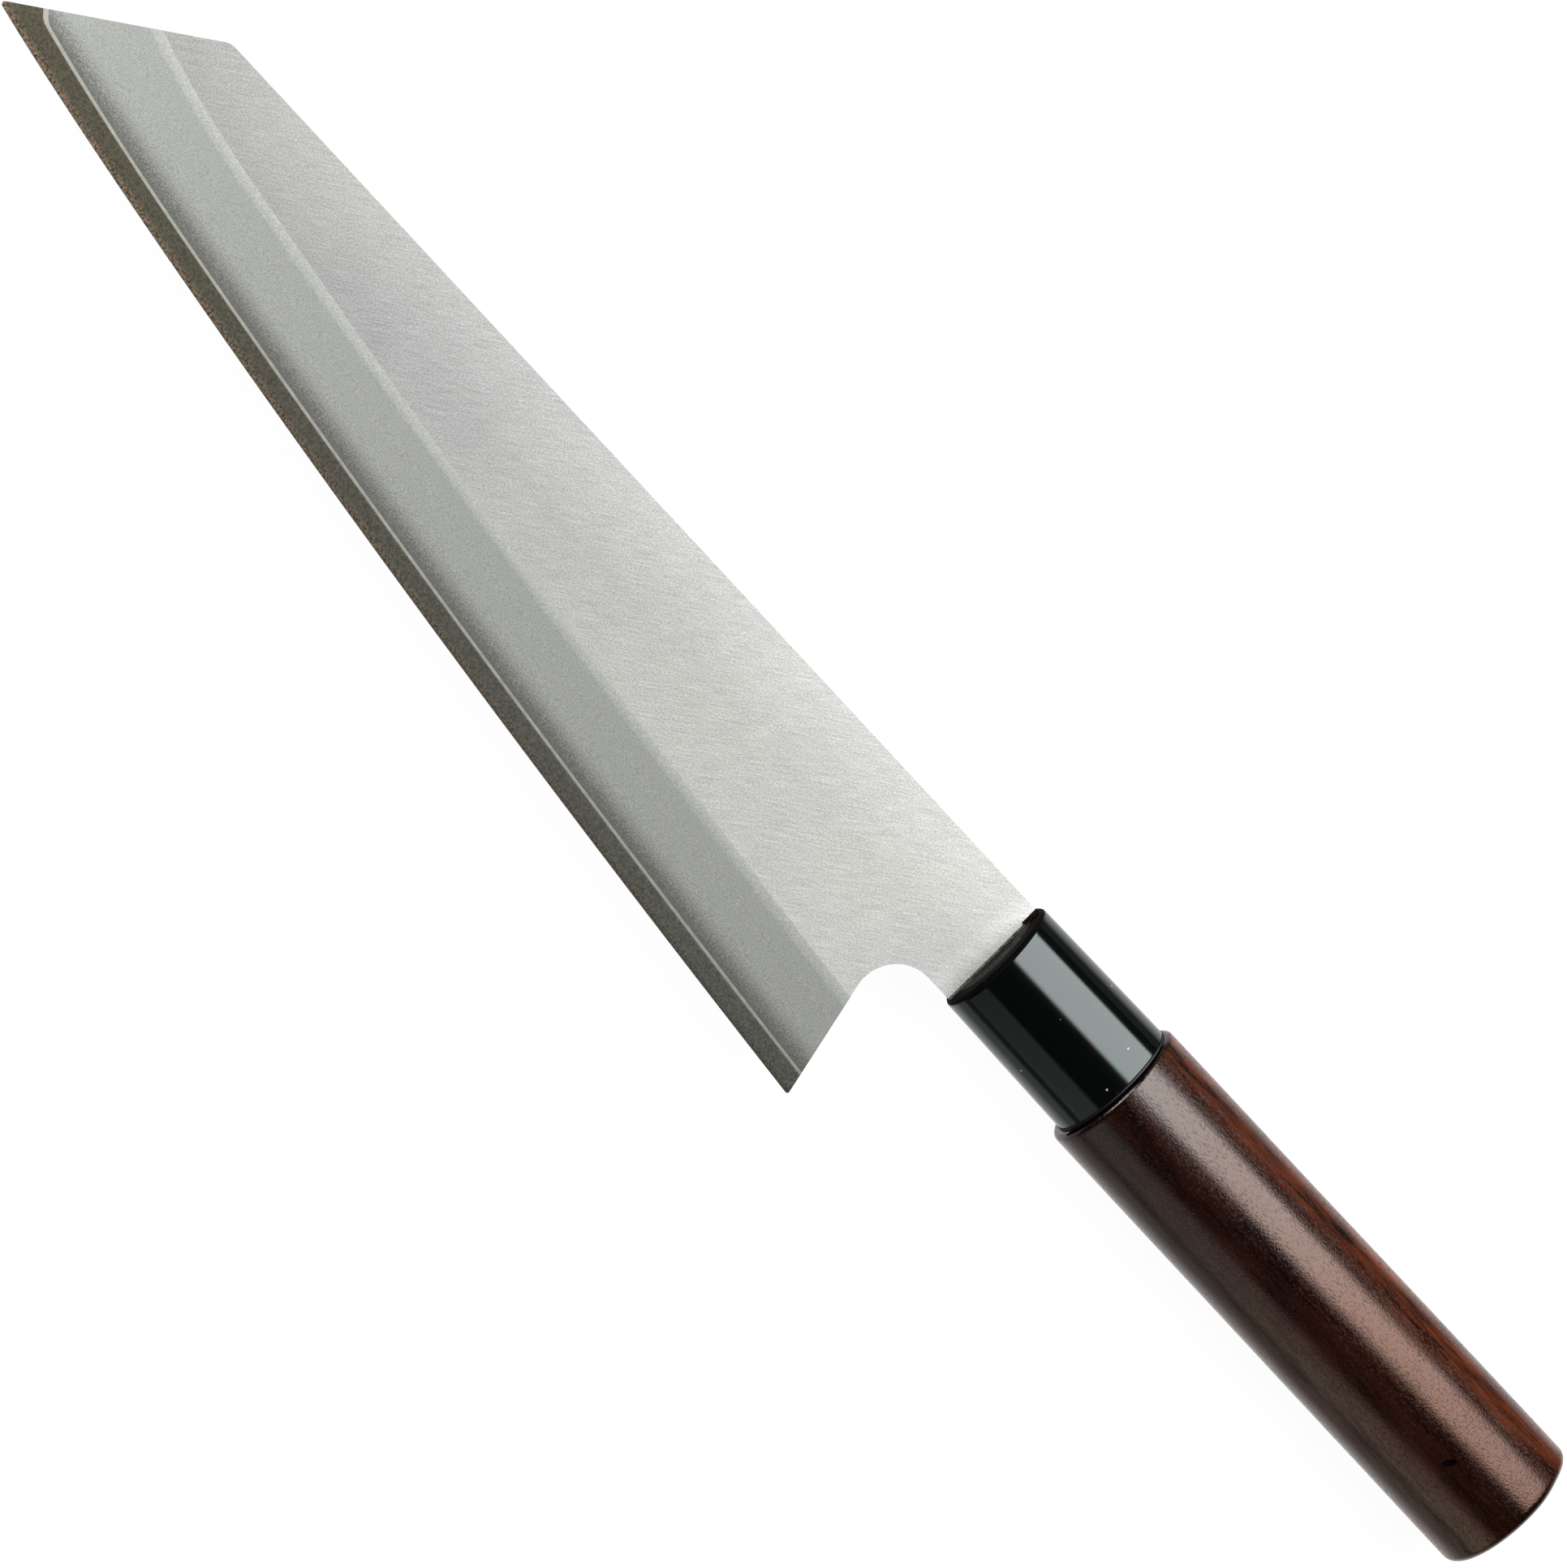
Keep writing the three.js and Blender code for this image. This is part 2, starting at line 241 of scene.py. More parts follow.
def roughen(piece: bpy.types.Object, name: str, lump: float, depth: float, level: float) -> None:
    """Push the surface of a piece in and out by soft noise.

    Args:
        piece: The piece.
        name: Name of the noise.
        lump: Size of its lumps.
        depth: How far it pushes from its lowest to its highest level.
        level: Level of the noise that leaves a point where it is, from 0 to 1 or past it.
    """
    noise = bpy.data.textures.new(name, "CLOUDS")
    noise.noise_scale = lump
    apply_modifier(
        piece, "DISPLACE", texture=noise, texture_coords="LOCAL", strength=depth, mid_level=level
    )


def points_of(piece: bpy.types.Object) -> np.ndarray:
    """The places of a piece's points."""
    return np.array([v.co for v in piece.data.vertices])


def move_points(piece: bpy.types.Object, points: np.ndarray) -> None:
    """Move the points of a piece to new places."""
    piece.data.vertices.foreach_set("co", points.ravel())
    piece.data.update()


def cut_with(piece: bpy.types.Object, tool: bpy.types.Object, cut: Cut) -> None:
    """Cut a piece with a tool, or join them, and throw the tool away.

    Args:
        piece: The piece.
        tool: The tool. If it has a finish, the faces that it leaves keep that.
        cut: What is left of the piece.
    """
    finish = "TRANSFER" if tool.data.materials else "INDEX"
    apply_modifier(
        piece, "BOOLEAN", operation=cut.value, object=tool, solver="EXACT", material_mode=finish
    )
    bpy.data.objects.remove(tool)


def copy_of(piece: bpy.types.Object, name: str) -> bpy.types.Object:
    """A copy of a piece with a mesh of its own.

    Args:
        piece: The piece.
        name: Name of the copy.

    Returns:
        The copy.
    """
    made = piece.copy()
    made.data = piece.data.copy()
    made.name = made.data.name = name
    bpy.context.scene.collection.objects.link(made)
    return made


def shade(piece: bpy.types.Object, angle: float) -> None:
    """Shade a piece smooth, with creases past an angle, and keep its flat faces flat.

    Args:
        piece: The piece.
        angle: Least angle of a crease.
    """
    take_up(piece)
    bpy.ops.object.shade_smooth_by_angle(angle=angle)
    apply_modifier(piece, "WEIGHTED_NORMAL", keep_sharp=True)


def draw_line(name: str, points: list[RailPoint], steps: int, cyclic: bool = False) -> bpy.types.Object:
    """Draw a line as a Bezier curve and make it a chain of mesh edges.

    Args:
        name: Name of the object.
        points: Points of the line with their handles.
        steps: Mesh edges on each bent stretch.
        cyclic: Whether the line closes on itself.

    Returns:
        The mesh object.
    """
    bpy.ops.object.select_all(action="DESELECT")
    bpy.ops.curve.primitive_bezier_curve_add()
    line = bpy.context.object
    line.name = name
    spline = line.data.splines[0]
    spline.bezier_points.add(len(points) - len(spline.bezier_points))
    spline.use_cyclic_u = cyclic
    spline.resolution_u = line.data.resolution_u = steps
    for knot, point in zip(spline.bezier_points, points):
        knot.handle_left_type = "FREE" if point.before else "VECTOR"
        knot.handle_right_type = "FREE" if point.after else "VECTOR"
        knot.co = point.at
        if point.before:
            knot.handle_left = point.before
        if point.after:
            knot.handle_right = point.after
    bpy.ops.object.convert(target="MESH")
    return bpy.context.object


def round_corner(before: Vector, corner: Vector, after: Vector, radius: float) -> list[RailPoint]:
    """The two ends of the round that replaces a corner, with handles that make it an arc.

    Args:
        before: A point on the line that leads to the corner.
        corner: The corner.
        after: A point on the line that leads away from it.
        radius: Radius of the round.

    Returns:
        Where the round starts and where it ends.
    """
    back = (before - corner).normalized()
    ahead = (after - corner).normalized()
    half_angle = back.angle(ahead) / 2
    run = radius / math.tan(half_angle)
    handle = radius * 4 / 3 * math.tan((math.pi - 2 * half_angle) / 4)
    start = corner + back * run
    end = corner + ahead * run
    return [RailPoint(start, None, start - back * handle), RailPoint(end, end - ahead * handle)]


def oval_disc(name: str, half: Oval, place: Vector, sides: int) -> bpy.types.Object:
    """Add a filled oval, square to the handle's axis, as the start of a handle piece.

    Args:
        name: Name of the object.
        half: Half sizes of the oval.
        place: Middle of the oval.
        sides: Number of its corners.

    Returns:
        The mesh object.
    """
    bpy.ops.object.select_all(action="DESELECT")
    across = (0, math.pi / 2, 0)
    bpy.ops.mesh.primitive_circle_add(
        vertices=sides, radius=1, fill_type="NGON", location=place, rotation=across
    )
    disc = bpy.context.object
    disc.name = disc.data.name = name
    disc.scale = (half.thickness, half.height, 1)
    bpy.ops.object.transform_apply(location=True, rotation=True, scale=True)
    return disc


def oval_bar(name: str, half: Oval, start: Vector, length: float, sides: int) -> bpy.types.Object:
    """A straight oval bar along the handle's axis, from its start.

    Args:
        name: Name of the object.
        half: Half sizes of the oval.
        start: Middle of its front end.
        length: Its length.
        sides: Number of the oval's corners.

    Returns:
        The mesh object.
    """
    bar = oval_disc(name, half, start, sides)
    with editing(bar):
        extrude(Vector((length, 0, 0)))
        face_outwards()
    return bar


def block(name: str, low: Vector, high: Vector) -> bpy.types.Object:
    """A block between two corners, as the start of a piece or as a cutting tool.

    Args:
        name: Name of the object.
        low: Its lowest corner.
        high: Its highest corner.

    Returns:
        The mesh object.
    """
    bpy.ops.object.select_all(action="DESELECT")
    bpy.ops.mesh.primitive_cube_add(size=1, location=(low + high) / 2)
    made = bpy.context.object
    made.name = made.data.name = name
    made.scale = high - low
    bpy.ops.object.transform_apply(location=True, rotation=True, scale=True)
    return made


def tilt_mouth(datum: Datum) -> None:
    """Turn what is selected as the mouth of the ferrule is turned, about its lower end."""
    lower_end = (0, datum.axis_y - datum.ferrule_mouth.height, 0)
    bpy.ops.transform.rotate(value=-datum.mouth_tilt, orient_axis="Z", center_override=lower_end)


def settle(piece: bpy.types.Object, datum: Datum, node: str) -> None:
    """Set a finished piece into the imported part's frame, where it stands for a node.

    Args:
        piece: The finished piece, in the maker's frame.
        datum: Where the maker's frame lies.
        node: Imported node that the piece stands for.
    """
    take_up(piece)
    piece.location = datum.origin
    bpy.ops.object.transform_apply(location=True, rotation=True, scale=True)
    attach(piece, BODY)
    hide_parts(node)
    log.info("%s: %d faces, for %s", piece.name, len(piece.data.polygons), node)


# Material tools


def linear(hex_colour: str) -> tuple[float, float, float, float]:
    """A colour written as sRGB hex, in the linear values that shaders take.

    Args:
        hex_colour: The colour, with # and six digits.

    Returns:
        Red, green, blue and a full alpha.
    """
    shares = [int(hex_colour[i : i + 2], 16) / 255 for i in (1, 3, 5)]
    channels = [s / 12.92 if s <= 0.04045 else ((s + 0.055) / 1.055) ** 2.4 for s in shares]
    return (*channels, 1.0)


def feed(socket: Socket, value: Value) -> None:
    """Link a socket to what feeds it, or set its plain value.

    Args:
        socket: The socket.
        value: Its value, or the socket that feeds it.
    """
    if isinstance(value, Socket):
        socket.id_data.links.new(value, socket)
    else:
        socket.default_value = value


def add_node(
    tree: bpy.types.NodeTree,
    kind: str,
    inputs: Union[Sequence[Value], dict[str, Value]] = (),
    output: Optional[str] = None,
    **settings: object,
) -> Socket:
    """Add a node to a tree, with its settings, values and links.

    Args:
        tree: Tree that gets the node.
        kind: Blender's name for the node's type, without the ShaderNode that it starts with.
        inputs: Values, or the sockets that feed them, in the order of the inputs in use or by name.
        output: Name of the output that is wanted, or none for the first one in use.
        settings: Properties of the node itself.

    Returns:
        The node's output.
    """
    node = tree.nodes.new(f"ShaderNode{kind}")
    for name, value in settings.items():
        setattr(node, name, value)
    if isinstance(inputs, dict):
        fed = [(node.inputs[name], value) for name, value in inputs.items()]
    else:
        fed = zip([socket for socket in node.inputs if socket.enabled], inputs)
    for socket, value in fed:
        feed(socket, value)
    if output:
        return node.outputs[output]
    return next(socket for socket in node.outputs if socket.enabled)


def feed_shader(material: bpy.types.Material, **sockets: Value) -> None:
    """Feed or set sockets of a material's shader, with _ for a space in their names.

    Args:
        material: The material.
        sockets: Values for the shader's sockets by name, or the sockets that feed them.
    """
    shader = material.node_tree.nodes["Principled BSDF"]
    for name, value in sockets.items():
        feed(shader.inputs[name.replace("_", " ")], value)


def new_material(name: str, **sockets: Value) -> tuple[bpy.types.Material, Callable[..., Socket]]:
    """A new material with a shader that has some of its plain values set.

    Args:
        name: Name of the material.
        sockets: Values for the shader's sockets, with _ for a space in their names.

    Returns:
        The material, and add_node for its tree.
    """
    material = bpy.data.materials.new(name)
    material.use_nodes = True
    feed_shader(material, **sockets)
    return material, partial(add_node, material.node_tree)


# Finishes


@dataclass(frozen=True)
class BrushedStainless:
    """Soft stainless steel ground aslant on a belt: a bright grey sheen drawn out across the scratches.

    The real scratches are some 0.05 mm wide and the grain is finer still, too fine to show, so both are
    drawn coarser.
    """

    dull: str = "#acada8"
    bright: str = "#c9c9c5"
    cool: str = "#f7f7fc"
    scratches: tuple[Span, Span] = ((4 * MM, 0.08 * MM), (6 * MM, 0.12 * MM))  # lengths and widths
    contrast: Span = (0.72, 1.28)  # of both scratches together, from dull to bright
    grain: float = 0.25 * MM
    speckle: Span = (0.45, 1.55)
    cloud: float = 40 * MM
    cloud_edge: Span = (0.4, 0.65)
    roughness: Span = (0.57, 0.54)  # where it is dull and where it is bright
    anisotropy: float = 0.5
    sheen_turn: float = 0.25  # of a full turn, off the scratches
    relief: float = 0.002 * MM
    painted_light_depth: float = 13 * MM  # painted light: below the spine, where the steel starts to get brighter
    painted_light_level: float = 1.2
    painted_shade_tip_fade: Span = (-0.15, 0.02)  # painted shade: along the blade, from the tip's darker level to the full one
    painted_shade_tip_level: float = 0.84
    painted_light_neck_run: float = 5.5 * MM  # painted light: ahead of the ferrule, brightening the steel against the shade that the ferrule casts
    painted_light_neck_level: float = 1.35
    spine_y: float = 0.0
    mouth_x: float = 0.0

    def material(self) -> bpy.types.Material:
        """Build the material.

        Returns:
            The material, with its nodes.
        """
        material, add = new_material(
            "brushed_stainless",
            Metallic=1.0,
            Anisotropic=self.anisotropy,
            Anisotropic_Rotation=self.sheen_turn,
        )
        place = add("TexCoord", output="Object")
        x, y = (add("SeparateXYZ", [place], axis) for axis in "XY")
        along = add("UVMap", uv_map=BRUSH_MAP)
        lines = []
        for length, width in self.scratches:
            drawn = add("Mapping", {"Vector": along, "Scale": (1 / length, 1 / width, 1)})
            lines.append(add("TexNoise", [drawn, 1.0]))
        share = add("MapRange", [add("Math", lines, operation="ADD"), *self.contrast])
        steel = add("Mix", [share, linear(self.dull), linear(self.bright)], data_type="RGBA")
        cloud = add("MapRange", [add("TexNoise", [place, 1 / self.cloud]), *self.cloud_edge])
        tinted = add("Mix", [cloud, steel, linear(self.cool)], data_type="RGBA", blend_type="MULTIPLY")
        level = add("MapRange", [add("TexNoise", [place, 1 / self.grain]), 0, 1, *self.speckle])
        # Painted light and shade: the steel is drawn brighter towards the spine and darker towards the tip.
        for ramp in (
            [y, self.spine_y - self.painted_light_depth, self.spine_y, 1, self.painted_light_level],
            [x, *self.painted_shade_tip_fade, self.painted_shade_tip_level, 1],
            # painted light next to the ferrule
            [x, self.mouth_x - self.painted_light_neck_run, self.mouth_x, 1, self.painted_light_neck_level],
        ):
            level = add("Math", [level, add("MapRange", ramp)], operation="MULTIPLY")
        feed_shader(
            material,
            Base_Color=add("VectorMath", [tinted, level], operation="SCALE"),
            Roughness=add("MapRange", [share, 0, 1, *self.roughness]),
            Normal=add("Bump", {"Height": lines[0], "Distance": self.relief}),
            Tangent=add("Tangent", direction_type="UV_MAP", uv_map=BRUSH_MAP),
        )
        return material


@dataclass(frozen=True)
class SatinBevel:
    """The same steel ground to a fine satin: even soft grey, smoky next to the core, paler at the ridge."""

    satin: str = "#abada9"
    smoke: str = "#747570"
    ridge: str = "#b6b8b3"
    smoke_edge: Span = (3.6 * MM, 9 * MM)  # above the cutting edge, where the smoke clears
    smoke_drift: float = 4 * MM  # how far it wanders
    band_edge: Span = (-2 * MM, -1.4 * MM)  # off the ridge, where its paler band fades in
    grain: float = 0.2 * MM
    speckle: Span = (0.45, 1.55)
    roughness: float = 0.56
    relief: float = 0.004 * MM

    def material(self) -> bpy.types.Material:
        """Build the material.

        Returns:
            The material, with its nodes.
        """
        material, add = new_material("satin_bevel", Metallic=1.0, Roughness=self.roughness)
        grain = add("TexNoise", [add("TexCoord", output="Object"), 1 / self.grain])
        height = add("Attribute", output="Fac", attribute_name=ABOVE_EDGE)
        drift = add("MapRange", [grain, 0, 1, -self.smoke_drift / 2, self.smoke_drift / 2])
        drifted = add("Math", [height, drift], operation="ADD")
        clear = add("MapRange", [drifted, *self.smoke_edge], interpolation_type="SMOOTHERSTEP")
        ground = add("Mix", [clear, linear(self.smoke), linear(self.satin)], data_type="RGBA")
        ridge = add("Attribute", output="Fac", attribute_name=ABOVE_RIDGE)
        near_ridge = add("MapRange", [ridge, *self.band_edge], interpolation_type="SMOOTHSTEP")
        steel = add("Mix", [near_ridge, ground, linear(self.ridge)], data_type="RGBA")
        speckle = add("MapRange", [grain, 0, 1, *self.speckle])
        feed_shader(
            material,
            Base_Color=add("VectorMath", [steel, speckle], operation="SCALE"),
            Normal=add("Bump", {"Height": grain, "Distance": self.relief}),
        )
        return material


@dataclass(frozen=True)
class GroundEdge:
    """Cut faces of the blade, ground along their length: plain bright steel with fine lines."""

    dull: str = "#959695"
    bright: str = "#bbbcba"
    line: Span = (9 * MM, 0.25 * MM)  # length and width
    roughness: float = 0.42

    def material(self) -> bpy.types.Material:
        """Build the material.

        Returns:
            The material, with its nodes.
        """
        material, add = new_material("ground_edge_steel", Metallic=1.0, Roughness=self.roughness)
        place = add("TexCoord", output="Object")
        length, width = self.line
        drawn = add("Mapping", {"Vector": place, "Scale": (1 / length, 1 / length, 1 / width)})
        lines = add("TexNoise", [drawn, 1.0])
        colour = add("Mix", [lines, linear(self.dull), linear(self.bright)], data_type="RGBA")
        feed_shader(material, Base_Color=colour)
        return material


@dataclass(frozen=True)
class CoreSteel:
    """Hard carbon-rich core, stone-ground: speckled olive grey, browner at the tip, with a pale worn rim."""

    heel: str = "#666760"
    tip: str = "#5b574a"
    rim: str = "#a68d78"
    fade: Span = (-0.16, 0.02)  # along the blade, from the tip's colour to the heel's
    grain: float = 0.4 * MM
    speckle: Span = (0.2, 1.8)
    rim_width: float = 1.6 * MM
    rim_flecks: Span = (0.4, 0.6)  # of the grain, where the rim is worn
    rim_reach: float = 1.15  # share of that fade where the rim ends: past 1 it still shows at the heel
    roughness: float = 0.52

    def material(self) -> bpy.types.Material:
        """Build the material.

        Returns:
            The material, with its nodes.
        """
        material, add = new_material("core_steel", Metallic=1.0, Roughness=self.roughness)
        place = add("TexCoord", output="Object")
        grain = add("TexNoise", [place, 1 / self.grain])
        to_heel = add("MapRange", [add("SeparateXYZ", [place], "X"), *self.fade])
        steel = add("Mix", [to_heel, linear(self.tip), linear(self.heel)], data_type="RGBA")
        speckle = add("MapRange", [grain, 0, 1, *self.speckle])
        ground = add("VectorMath", [steel, speckle], operation="SCALE")
        height = add("Attribute", output="Fac", attribute_name=ABOVE_EDGE)
        worn = add("MapRange", [height, 0, self.rim_width, 1, 0], interpolation_type="SMOOTHSTEP")
        flecks = add("MapRange", [grain, *self.rim_flecks])
        to_tip = add("Math", [self.rim_reach, to_heel], operation="SUBTRACT", use_clamp=True)
        for share in (flecks, to_tip):
            worn = add("Math", [worn, share], operation="MULTIPLY")
        feed_shader(material, Base_Color=add("Mix", [worn, ground, linear(self.rim)], data_type="RGBA"))
        return material


@dataclass(frozen=True)
class NickelFoil:
    """Nickel sheet laid between the steels: a bright thin line, a little broken by the grinding."""

    nickel: str = "#c8c8c2"
    broken: str = "#98988f"
    patch: float = 1.2 * MM
    roughness: float = 0.5

    def material(self) -> bpy.types.Material:
        """Build the material.

        Returns:
            The material, with its nodes.
        """
        material, add = new_material("nickel_foil", Metallic=1.0, Roughness=self.roughness)
        patches = add("TexNoise", [add("TexCoord", output="Object"), 1 / self.patch])
        colour = add("Mix", [patches, linear(self.broken), linear(self.nickel)], data_type="RGBA")
        feed_shader(material, Base_Color=colour)
        return material


@dataclass(frozen=True)
class MouldedPlastic:
    """Black moulded phenolic plastic, polished: deep black with sharp reflections and a little dust."""

    black: str = "#030404"
    dust: str = "#a5a9a7"
    glint: str = "#f3ffff"
    index: float = 1.6  # of refraction
    dust_spacing: float = 4 * MM
    dust_size: float = 0.22 * MM
    smudge: float = 6 * MM
    roughness: Span = (0.07, 0.13)

    def material(self) -> bpy.types.Material:
        """Build the material.

        Returns:
            The material, with its nodes.
        """
        material, add = new_material(
            "moulded_black_plastic", IOR=self.index, Specular_Tint=linear(self.glint)
        )
        place = add("TexCoord", output="Object")
        size = self.dust_size / self.dust_spacing
        specks = add("MapRange", [add("TexVoronoi", [place, 1 / self.dust_spacing]), size / 2, size, 1, 0])
        smudges = add("TexNoise", [place, 1 / self.smudge, FINE_DETAIL])
        feed_shader(
            material,
            Base_Color=add("Mix", [specks, linear(self.black), linear(self.dust)], data_type="RGBA"),
            Roughness=add("MapRange", [smudges, 0, 1, *self.roughness]),
        )
        return material


@dataclass(frozen=True)
class StainedWood:
    """Close-grained hardwood, stained red-brown under lacquer: dark streaks under a rippled shine.

    It is orange on the spine side. Towards the butt a grey-olive painted sheen grows on the edge side, and
    the lacquer is worn thin, so that the wood colours the shine. Next to the ferrule the shoulder is dark,
    partly with glue and partly with painted shade. Real pores are too fine to show and drawn coarser.
    """

    dark: str = "#0c0302"
    red: str = "#2b0f08"
    orange: str = "#6c2c04"
    painted_sheen_olive: str = "#3d3a29"
    glints: tuple[str, str] = ("#fff1ea", "#ffcdba")  # of fresh and of worn lacquer
    index: float = 1.65  # of refraction
    fibre: Span = (5 * MM, 0.45 * MM)  # length and width
    figure: Span = (20 * MM, 3 * MM)
    pore: Span = (0.7 * MM, 0.26 * MM)
    stain: Span = (0.75, 1.35)  # of fibre and figure together, from dark to red
    toned: Span = (0.84, 1.26)  # of the same, where the tones of the two sides show
    warm_side: Span = (6.3 * MM, 12.2 * MM)  # above the axis, where it turns orange
    painted_sheen_side: Span = (-4.5 * MM, -10 * MM)  # below it, where a painted sheen turns it grey-olive
    wear_and_sheen_run: Span = (2 * MM, 60 * MM)  # back from the shoulder, where the painted sheen and the worn lacquer's tint set in
    glue_and_painted_shade_run: Span = (0.7 * MM, 1.3 * MM)  # back from the shoulder, up to where it is dark: partly glue, partly painted shade
    glue_and_painted_shade_level: float = 0.35
    pore_edge: Span = (0.36, 0.52)
    pore_level: float = 0.25
    peel: float = 0.3 * MM  # ripple of the lacquer
    peel_depth: float = 0.03 * MM
    roughness: Span = (0.11, 0.19)  # across the figure
    figure_edge: Span = (0.35, 0.65)
    pit_edge: Span = (0.34, 0.52)
    pit_roughness: float = 0.26  # added where a pore breaks the lacquer
    axis_y: float = 0.0
    shoulder_x: float = 0.0

    def material(self) -> bpy.types.Material:
        """Build the material.

        Returns:
            The material, with its nodes.
        """
        material, add = new_material("stained_hardwood", IOR=self.index)
        place = add("TexCoord", output="Object")
        x, y = (add("SeparateXYZ", [place], axis) for axis in "XY")
        grains = []
        for length, width in (self.fibre, self.figure, self.pore):
            drawn = add("Mapping", {"Vector": place, "Scale": (1 / length, 1 / width, 1 / width)})
            grains.append(add("TexNoise", [drawn, 1.0, FINE_DETAIL]))
        fibre, figure, pore = grains
        streaks = add("Math", [fibre, figure], operation="ADD")
        stain = add("MapRange", [streaks, *self.stain])
        colour = add("Mix", [stain, linear(self.dark), linear(self.red)], data_type="RGBA")
        toned = add("MapRange", [streaks, *self.toned])
        # painted sheen: grey-olive on the edge side, growing towards the butt; the same run tints the
        # lacquer's shine
        worn = add("MapRange", [x, *(self.shoulder_x + run for run in self.wear_and_sheen_run)])
        for side, tone, amount in ((self.warm_side, self.orange, 1.0), (self.painted_sheen_side, self.painted_sheen_olive, worn)):
            ends = [self.axis_y + off_axis for off_axis in side]
            share = add("MapRange", [y, *ends], interpolation_type="SMOOTHSTEP")
            for factor in (toned, amount):
                share = add("Math", [share, factor], operation="MULTIPLY")
            colour = add("Mix", [share, colour, linear(tone)], data_type="RGBA")
        # painted shade, partly glue: the wood darkens towards the shoulder, next to the ferrule
        ends = [self.shoulder_x + run for run in self.glue_and_painted_shade_run]
        level = add("MapRange", [x, *ends, self.glue_and_painted_shade_level, 1], interpolation_type="SMOOTHSTEP")
        open_pores = add("MapRange", [pore, *self.pore_edge, self.pore_level, 1])
        level = add("Math", [open_pores, level], operation="MULTIPLY")
        lacquer = add("MapRange", [figure, *self.figure_edge, *self.roughness])
        pits = add("MapRange", [pore, *self.pit_edge, self.pit_roughness, 0])
        peel = add("TexNoise", [place, 1 / self.peel])
        feed_shader(
            material,
            Base_Color=add("VectorMath", [colour, level], operation="SCALE"),
            Roughness=add("Math", [lacquer, pits], operation="ADD"),
            Normal=add("Bump", {"Height": peel, "Distance": self.peel_depth}),
            Specular_Tint=add("Mix", [worn, *map(linear, self.glints)], data_type="RGBA"),
        )
        return material


@dataclass(frozen=True)
class CuredResin:
    """Cast or smeared resin, or plastic worn dull: a plain body colour, cloudy where it set unevenly."""

    name: str
    body: str
    cloudy: str
    cloud: float = 0.8 * MM
    cloud_edge: Span = (0.4, 0.7)
    roughness: float = 0.55
    index: float = 1.5  # of refraction: near 1 there is no shine

    def material(self) -> bpy.types.Material:
        """Build the material.

        Returns:
            The material, with its nodes.
        """
        material, add = new_material(self.name, IOR=self.index, Roughness=self.roughness)
        clouds = add("TexNoise", [add("TexCoord", output="Object"), 1 / self.cloud, FINE_DETAIL])
        share = add("MapRange", [clouds, *self.cloud_edge])
        colour = add("Mix", [share, linear(self.body), linear(self.cloudy)], data_type="RGBA")
        feed_shader(material, Base_Color=colour)
        return material


# The knife


@dataclass(frozen=True)
class Layer:
    """One sheet of the laminated blade, between two levels of its thickness."""

    node: str
    low: Optional[float]
    high: Optional[float]
    slot: str


